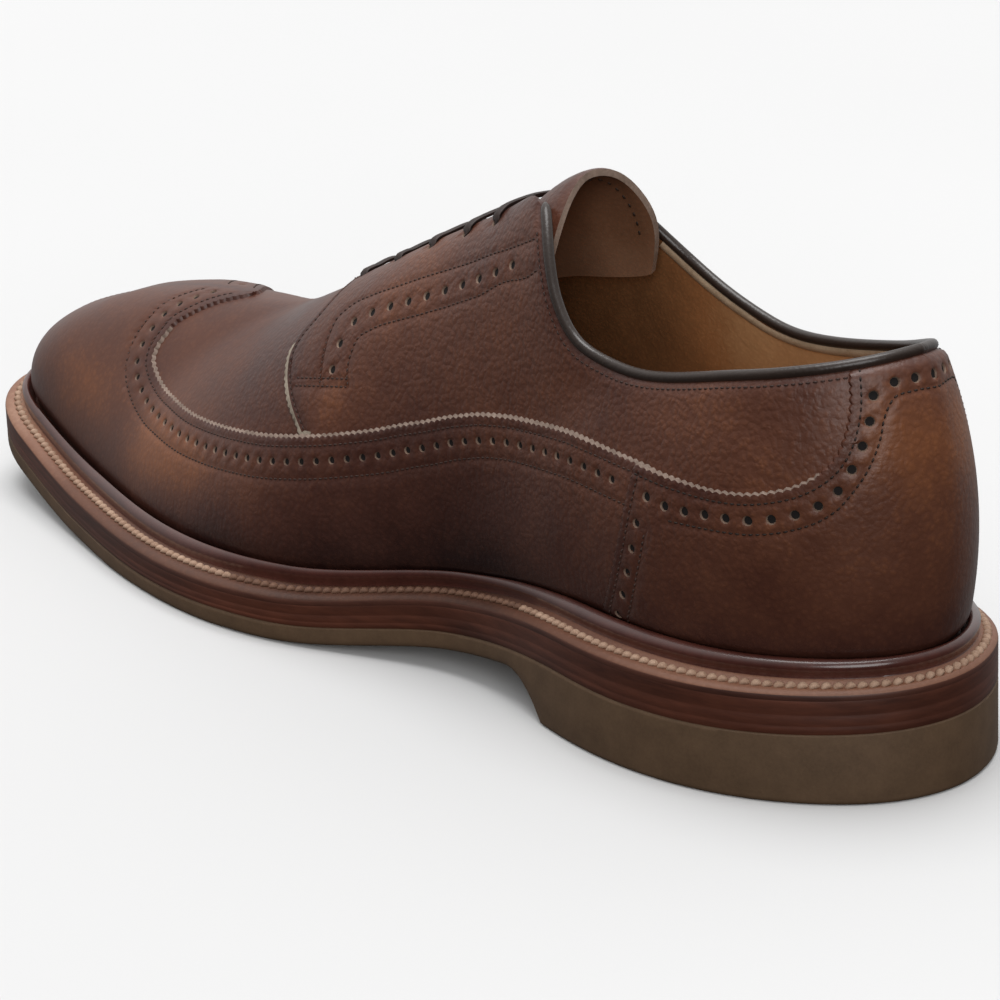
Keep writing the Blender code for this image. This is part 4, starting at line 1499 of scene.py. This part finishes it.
def make_tongue():
    from_top = np.arange(TONGUE_ROWS)[:, None] / TONGUE_THIN_ROWS
    columns = np.arange(TONGUE_COLUMNS)
    from_side = np.minimum(columns, columns[::-1]) / TONGUE_THIN_COLUMNS
    swell = lifted(TONGUE_THIN, np.minimum(1, np.minimum(from_top, from_side)))[..., None]
    top, _ = tongue_grid(0.0)
    low, _ = tongue_grid(-TONGUE_THICK)
    middle = (top + low) / 2
    top, low = middle + (top - middle) * swell, middle + (low - middle) * swell
    count = TONGUE_ROWS * TONGUE_COLUMNS
    faces = [face[::-1] for face in grid_faces(TONGUE_ROWS, TONGUE_COLUMNS)]
    kinds = [0] * len(faces)
    faces += grid_faces(TONGUE_ROWS, TONGUE_COLUMNS, start=count)
    kinds += [1] * (len(faces) - len(kinds))
    rim = list(range(TONGUE_COLUMNS))
    rim += [i * TONGUE_COLUMNS + TONGUE_COLUMNS - 1 for i in range(1, TONGUE_ROWS)]
    rim += [(TONGUE_ROWS - 1) * TONGUE_COLUMNS + j for j in range(TONGUE_COLUMNS - 2, -1, -1)]
    rim += [i * TONGUE_COLUMNS for i in range(TONGUE_ROWS - 2, 0, -1)]
    for a, b in zip(rim, rim[1:] + rim[:1]):
        faces.append((b, a, a + count, b + count))
        kinds.append(2)
    points = np.vstack([top.reshape(-1, 3), low.reshape(-1, 3)])
    # The tongue's lining is painted lighter at its outer edge and darker toward its inner edge: painted light
    # and shade across it
    inside_light_and_shade = np.tile(TONGUE_INSIDE - TONGUE_LIGHT_TO_SHADE * np.linspace(-1, 1, TONGUE_COLUMNS), TONGUE_ROWS)
    tone = np.append(np.full(count, TONGUE_TONE), inside_light_and_shade)
    values = {"tone": tone, "grain": np.full(len(points), TONGUE_GRAIN)}
    materials = [UPPER, TONGUE_LINING, TONGUE_EDGE]
    return new_piece("tongue_leather", points, faces, materials, kinds, TONGUE_SHARP, ("tongue",),
                     values)


TONGUE_ROW = 5
TONGUE_ROW_ENDS = 4
TONGUE_PITCH = 2.6
TONGUE_STITCH = (1.3, 0.32, 0.28, 0.25)
TONGUE_STITCH_RISE = 0.05


def make_tongue_row():
    """Stitches along the top of the tongue, a little in from its edge."""
    grid, up = tongue_grid(-TONGUE_THICK - TONGUE_STITCH_RISE)
    path, ways = (side[TONGUE_ROW, TONGUE_ROW_ENDS:-TONGUE_ROW_ENDS] for side in (grid, up))
    length = run_lengths(path)
    at = np.arange(1.0, length[-1], TONGUE_PITCH)
    points = read_along(at, length, path)
    out = -unit(read_along(at, length, ways))
    stitches = stitch_points(points, unit(np.gradient(points, axis=0)), out, *TONGUE_STITCH)
    return stitch_piece("tongue_stitching", [stitches], THREAD)


LACE_WIDE = 1.5
LACE_HIGH = 0.6
LACE_SIDES = 10
LACE_CROWN = 0.7
LACE_PITCH = 0.7
LACE_KNOT_POWER = 0.5
LACE_FINE = 40
LACE_SMOOTH = 12
LACE_WEAK = 0.25

# A bar on one facing, from under the eyelet up through it and over to the facing's edge
LACE_PATH = (
    # share of the eyelet's reach, height over the skin
    (1.0, -3.2),
    (1.0, -1.6),
    (1.0, -0.2),
    (0.93, 0.45),
    (0.78, 0.8),
    (0.6, 0.85),
    (0.4, 0.85),
    (0.2, 0.85),
    (0.02, 0.8),
)


def smooth_path(points, pitch):
    """A smooth curve through points, spaced evenly."""
    points = np.asarray(points, float)
    knots = run_lengths(points, LACE_KNOT_POWER)
    slopes = np.gradient(points, knots, axis=0)
    fine = cubic(knots, points, slopes, np.linspace(0, knots[-1], LACE_FINE * len(points)))
    length = run_lengths(fine)
    return read_along(np.linspace(0, length[-1], int(length[-1] / pitch) + 1), length, fine)


def lace_side(at, side):
    """Points of a bar on one facing, and the outward directions there."""
    shares, heights = np.array(LACE_PATH).T
    places = np.array([eyelet(at, side, share * EYELET_REACH) for share in shares])
    return raised(*places.T, heights)


def make_laces():
    route, normals = [], []
    for number, at in enumerate(LACE_STATIONS):
        first = 1 if number % 2 == 0 else -1
        start, start_out = lace_side(at, first)
        finish, finish_out = lace_side(at, -first)
        middle = (start[-1:] + finish[-1:]) / 2
        middle[:, 2] += LACE_CROWN
        route += [start, middle, finish[::-1]]
        normals += [start_out, unit(start_out[-1:] + finish_out[-1:]), finish_out[::-1]]
    route, normals = np.vstack(route), np.vstack(normals)
    path = smooth_path(route, LACE_PITCH)
    run = unit(np.gradient(path, axis=0))
    tree = tree_of(route)
    up = np.array([normals[tree.find(point)[1]] for point in path])
    for _ in range(LACE_SMOOTH):
        up[1:-1] = (up[:-2] + 2 * up[1:-1] + up[2:]) / 4
    up = up - run * dots(up, run)[:, None]
    weak = np.linalg.norm(up, axis=1) < LACE_WEAK
    along_x = np.array([1.0, 0, 0]) - run * run[:, :1]
    up = unit(np.where(weak[:, None], along_x, up))
    points, faces = tube(path, np.cross(run, up), up, LACE_WIDE, LACE_HIGH, LACE_SIDES)
    nodes = [f"lace_bar_{n}" for n in range(1, len(LACE_STATIONS) + 1)]
    return new_piece("laces", points, faces, [LACE], None, ROUND_SHARP, nodes)


# Welt and sole

LOOP_COUNT = 440
WIDEST_WELT = 9.3
FOOT_SHARE = 0.48
STITCH_HEEL = 0.70
STITCH_FORE = 0.58
WELT_FALL = 1.65


def loop_rings(profile):
    """Points round the sole from a profile of out and up, given for the stations of one side."""
    r = np.arange(0, LOOP_COUNT // 2 + 1) * ROUND / LOOP_COUNT
    rings = []
    for side in (1, -1):
        base, outward = feather(r, side)
        columns = []
        for out, up in profile(r, side, base, outward):
            xy = base[:, :2] + outward * np.broadcast_to(out, len(r))[:, None]
            columns.append(np.column_stack([xy, welt_top(xy[:, 0]) + up]))
        rows = np.stack(columns, 1)
        rings.extend(rows if side > 0 else rows[-2:0:-1])
    return np.array(rings)


def rib_lean(r, side, base, outward):
    w = RIB_HEIGHT / (3 * soft_table(FULL_INNER if side > 0 else FULL_OUTER, r)[:, 1])
    lean = dots((upper_points(r, w, side) - base)[:, :2], outward)
    return np.maximum(lean, 0) + 2 * GAP


def stitch_line(r, side):
    """How far out the welt's stitches lie from the upper."""
    return (STITCH_HEEL + (STITCH_FORE - STITCH_HEEL) * ease(r, *WAIST)) * welt_width(r, side)[:, 0]


def welt_slope(out, width):
    """Height of the welt's sloping top, from the rib's foot out to the edge."""
    return -WELT_FALL * np.clip((out / width - FOOT_SHARE) / (1 - FOOT_SHARE), 0, 1)


# Shape of the rib from its outer foot over the top to its inner foot: share of its lean, out past it, height
RIB_SHAPE = (
    (0.0, 4.2, 0.02), (0.0, 4.1, 0.35), (0.1, 4.0, 0.9), (0.3, 3.95, 1.4), (0.5, 3.85, 2.0), (0.8, 3.45, 2.6),
    (1.0, 2.7, 3.25), (1.0, 1.8, 3.8), (1.0, 1.1, 3.92), (1.0, 0.4, 3.6), (1.0, 0.0, 3.0), (0.5, -0.3, 1.6),
    (0.0, -0.5, 0.1),
)
RIB_FORE = 0.74
RIB_WAIST = 0.24
WAIST = (3.9, 5.2)
WAIST_FROM = (4.1, 4.9)
WAIST_TO = (5.9, 6.8)

# The welt's edge and lip from its outer edge, and its groove from the stitches: out and up
WELT_SIDE = ((-0.03, -WELT_THICK), (0.0, 0.1 - WELT_THICK), (0.0, -2.4), (-0.08, -2.0))
WELT_LIP = ((-0.3, -0.2), (-0.8, 0.0))
WELT_GROOVE = ((0.95, 0.02), (0.55, -0.25), (-0.5, -0.25), (-0.8, 0.0))
WELT_UNDER = -3.0


def at_waist(r):
    """1 at the waist, where the upper hangs over the welt, falling to 0 at the heel and the tread."""
    return ease(r, *WAIST_FROM) * (1 - ease(r, *WAIST_TO))


def welt_profile(r, side, base, outward):
    width = welt_width(r, side)[:, 0]
    groove = stitch_line(r, side)
    lean = rib_lean(r, side, base, outward) - GAP
    points = [(width + out, up) for out, up in WELT_SIDE]
    points += [(width + out, welt_slope(width + out, width) + up) for out, up in WELT_LIP]
    points += [(groove + out, welt_slope(groove + out, width) + up) for out, up in WELT_GROOVE]
    narrow = (1 - RIB_FORE) * ease(r, *WAIST) + RIB_WAIST * at_waist(r)
    size = width / WIDEST_WELT * (1 - narrow)
    points += [(GAP + lean * share + out * size, up) for share, out, up in RIB_SHAPE]
    points += [(WELT_UNDER, 0.0), (WELT_UNDER, -WELT_THICK)]
    return points


# Tone of the welt's top: at the heel, how it darkens to the waist, painted shade at the waist under the
# overhanging upper, and how it grows paler to the toe
WELT_TONE = 0.76
WELT_DARKER = 0.44
WELT_DARKENS = (2.4, 4.8)
WAIST_PAINTED_SHADE = 0.16
WELT_PALER = 0.60
WELT_PALES = (7.3, 9.3)
WELT_GRAIN = 0.3
WELT_SHARP = 50.0


def make_welt():
    rings = loop_rings(welt_profile)
    count, width = rings.shape[:2]
    faces = [face[::-1] for face in grid_faces(count, width, True, True)]
    edge_end = len(WELT_SIDE) - 1
    top_end = len(WELT_SIDE) + len(WELT_LIP) + len(WELT_GROOVE)
    rib_end = top_end + len(RIB_SHAPE) - 1
    kinds = [0] * edge_end + [1] * (top_end - edge_end) + [2] * (rib_end - top_end) + [0] * (width - rib_end)
    kinds *= count
    r = station(np.arange(count) * ROUND / count)
    tone = WELT_TONE - WELT_DARKER * ease(r, *WELT_DARKENS) - WAIST_PAINTED_SHADE * at_waist(r)
    tone += WELT_PALER * ease(r, *WELT_PALES)
    values = {"tone": np.repeat(tone, width), "grain": np.full(count * width, WELT_GRAIN)}
    points, materials = rings.reshape(-1, 3), [WELT_EDGE, WELT_TAN, RIB]
    return new_piece("storm_welt", points, faces, materials, kinds, WELT_SHARP, ("welt",), values)


# Stitches of the welt: their pitch, slant, rise, and their length, half width, half height, dip and sides
WELT_PITCH = 2.4
WELT_SLANT = 0.6
WELT_STITCH_RISE = 0.05
WELT_STITCH_SIDES = 7
WELT_STITCH = (2.3, 0.95, 0.66, 0.45, WELT_STITCH_SIDES)


def welt_row(r, side, base, outward):
    out = stitch_line(r, side)
    return [(out, welt_slope(out, welt_width(r, side)[:, 0]) + WELT_STITCH_RISE)]


def make_welt_row():
    """Stitches in the groove round the welt."""
    line = loop_rings(welt_row)[:, 0]
    closed = np.vstack([line, line[:1]])
    length = run_lengths(closed)
    count = int(length[-1] / WELT_PITCH)
    at = (np.arange(count) + 0.5) * length[-1] / count
    points = read_along(at, length, closed)
    run = unit(np.roll(points, -1, axis=0) - np.roll(points, 1, axis=0))
    up = unit(np.array([0, 0, 1.0]) - run * run[:, 2:])
    made = stitch_points(points, unit(run + np.cross(up, run) * WELT_SLANT), up, *WELT_STITCH)
    place = np.interp(at, length, np.arange(len(closed)) * ROUND / LOOP_COUNT)
    # Stitches at the waist take the darker thread, painted shade under the overhanging upper
    dark = at_waist(station(place)) > 0.5
    stitch_piece("welt_stitching", [made[~dark]], WELT_THREAD, WELT_STITCH_SIDES)
    stitch_piece("welt_stitching_painted_shade", [made[dark]], WELT_THREAD_SHADED, WELT_STITCH_SIDES)


# Stations of the sole's layers, closer at the heel, the breast and the toe
SLAB_STEPS = ((0, LAST + 0.01, 0.05), (0, 1, 0.02), (10, 11, 0.02), (4, 5.2, 0.02))
SLAB_ROWS = np.unique(np.round(np.concatenate([np.arange(*steps) for steps in SLAB_STEPS]), 4))
SLAB_SHARP = 40.0


def slab(name, material, inset, profile, top, bottom, columns, replaces):
    """A layer of the sole; its edge has a profile of inset, share of the height, and shift up from there."""
    sides = []
    for side in (1, -1):
        edge, outward = sole_edge(SLAB_ROWS, side)
        rows = []
        for step_in, share, shift in profile:
            xy = edge - outward * (inset(SLAB_ROWS, side) + step_in)
            high, low = top(*xy.T), bottom(*xy.T)
            rows.append(np.column_stack([xy, low + (high - low) * share + shift]))
        sides.append(np.stack(rows, 1))
    t = np.linspace(0, 1, columns + 1)[1:-1]
    rings = []
    for inner, outer in zip(*sides):
        under = inner[-1, :2] * (1 - t[:, None]) + outer[-1, :2] * t[:, None]
        over = outer[0, :2] * (1 - t[:, None]) + inner[0, :2] * t[:, None]
        low = np.column_stack([under, bottom(*under.T) + profile[-1][2]])
        high = np.column_stack([over, top(*over.T) + profile[0][2]])
        rings.append(np.vstack([inner, low, outer[::-1], high]))
    rings = np.array(rings)
    points, faces, _ = weld(rings.reshape(-1, 3), grid_faces(len(rings), rings.shape[1], False, True))
    return new_piece(name, points, faces, [material], None, SLAB_SHARP, (replaces,))


MIDSOLE_EDGE = (
    # inset, share, shift
    (0.04, 1.0, 0.0), (0.0, 0.97, 0.0), (0.0, 0.90, 0.0), (0.0, 0.63, 0.0), (0.06, 0.59, 0.0),
    (0.06, 0.56, 0.0), (0.0, 0.52, 0.0), (0.0, 0.30, 0.0), (0.05, 0.27, 0.0), (0.05, 0.24, 0.0),
    (0.0, 0.20, 0.0), (0.0, 0.08, 0.0), (0.25, 0.0, 0.0),
)
OUTSOLE_EDGE = (
    # inset, share, shift
    (0.4, 1.0, 0.0), (0.05, 1.0, -0.35), (0.0, 1.0, -0.9), (0.0, 0.5, 0.0), (0.0, 0.0, 1.2),
    (0.12, 0.0, 0.6), (0.45, 0.0, 0.18), (1.0, 0.0, 0.0),
)
SOCK_EDGE = ((0.0, 1.0, 1.3), (0.7, 1.0, 0.4), (2.0, 1.0, 0.0), (0.6, 0.0, 0.0))
SOCK_IN = 2.1
SOCK_OVER_MIDSOLE = 0.2


def flush(r, side):
    return 0.0


def sock_inset(r, side):
    return welt_width(r, side) + SOCK_IN


def sock_top(x, y):
    return welt_top(x) + INSOLE_RISE


def sock_low(x, y):
    return midsole_top(x, y) + SOCK_OVER_MIDSOLE


def midsole_top(x, y):
    return welt_top(x) - WELT_THICK


def midsole_low(x, y):
    return welt_top(x) - stack(x)


def make_sole():
    slab("midsole_layers", MIDSOLE, flush, MIDSOLE_EDGE, midsole_top, midsole_low, 8, "midsole")
    slab("rubber_sole", RUBBER, flush, OUTSOLE_EDGE, midsole_low, tread, 24, "outsole")
    slab("sock", SOCK, sock_inset, SOCK_EDGE, sock_top, sock_low, 16, "insole")


make_binding()
make_piping()
make_tongue()
make_tongue_row()
make_laces()
make_welt()
make_welt_row()
make_sole()


# Camera, light and floor


def make_camera():
    a, e, roll = np.radians([CAMERA_AZIMUTH, CAMERA_ELEVATION, CAMERA_ROLL])
    back = Vector((np.sin(a) * np.cos(e), -np.cos(a) * np.cos(e), np.sin(e)))
    right = (-back).cross(Vector((0, 0, 1))).normalized()
    up = right.cross(-back)
    turned = right * np.cos(roll) + up * np.sin(roll)
    upright = up * np.cos(roll) - right * np.sin(roll)
    data = bpy.data.cameras.new("camera")
    data.sensor_width = SENSOR
    data.lens = CAMERA_FOCAL * SENSOR / FRAME_SIZE
    data.shift_x = (FRAME_SIZE / 2 - CAMERA_CENTRE[0]) / FRAME_SIZE
    data.shift_y = (CAMERA_CENTRE[1] - FRAME_SIZE / 2) / FRAME_SIZE
    data.clip_start = 0.05
    camera = bpy.data.objects.new("camera", data)
    bpy.context.scene.collection.objects.link(camera)
    camera.matrix_world = Matrix((turned, upright, back)).transposed().to_4x4()
    camera.location = CAMERA_TARGET + back * CAMERA_DISTANCE
    bpy.context.scene.camera = camera


SKY_AXIS = Vector((0.45, -0.39, 0.80)).normalized()
SKY_STOPS = ((0.0, 0.02), (0.35, 0.05), (0.50, 0.16), (0.62, 0.31), (0.85, 0.70), (1.0, 0.86))
LAMPS = (
    # name, way toward the lamp, strength, angle it spans
    ("key", (0.10, -0.05, 1.0), 1.75, 40.0),
    ("fill", (-0.755, 0.656, 0.45), 1.2, 40.0),
)


def make_light():
    """A soft white room, brightest above and behind, with a wide lamp above and a weaker one in front."""
    world = bpy.data.worlds.new("studio")
    bpy.context.scene.world = world
    world.use_nodes = True
    tree = world.node_tree
    way = add(tree, "TexCoord").outputs["Generated"]
    height = add(tree, "VectorMath", {0: way, 1: SKY_AXIS}, operation="DOT_PRODUCT").outputs["Value"]
    share = ranged(tree, height, -1.0, 1.0, 0.0, 1.0)
    light = ramp(tree, share, [(place, (tone,) * 3) for place, tone in SKY_STOPS])
    tree.links.new(light, tree.nodes["Background"].inputs["Color"])
    for name, toward, strength, angle in LAMPS:
        data = bpy.data.lights.new(name, "SUN")
        data.energy = strength
        data.angle = np.radians(angle)
        lamp = bpy.data.objects.new(name, data)
        lamp.rotation_euler = Vector(toward).to_track_quat("Z", "Y").to_euler()
        bpy.context.scene.collection.objects.link(lamp)


FLOOR_HALF = 6.0
FLOOR_SCALE = 0.002
FLOOR_STOPS = ((0.3, 0.735), (0.7, 0.755))


def make_floor():
    mesh = bpy.data.meshes.new("floor")
    corners = [(x * FLOOR_HALF, y * FLOOR_HALF, 0) for x, y in ((-1, -1), (1, -1), (1, 1), (-1, 1))]
    mesh.from_pydata(corners, [], [(0, 1, 2, 3)])
    paper, tree, shader, size = fresh("paper", 0.9)
    soft = noise(tree, size, FLOOR_SCALE, 2.0)
    tree.links.new(ramp(tree, soft, [(place, (tone,) * 3) for place, tone in FLOOR_STOPS]),
                   shader.inputs["Base Color"])
    shader.inputs["Specular IOR Level"].default_value = 0.0
    mesh.materials.append(paper)
    floor = bpy.data.objects.new("floor", mesh)
    floor.visible_glossy = False
    floor.visible_diffuse = False
    bpy.context.scene.collection.objects.link(floor)


make_camera()
make_light()
make_floor()
bpy.context.scene.view_settings.view_transform = "Standard"
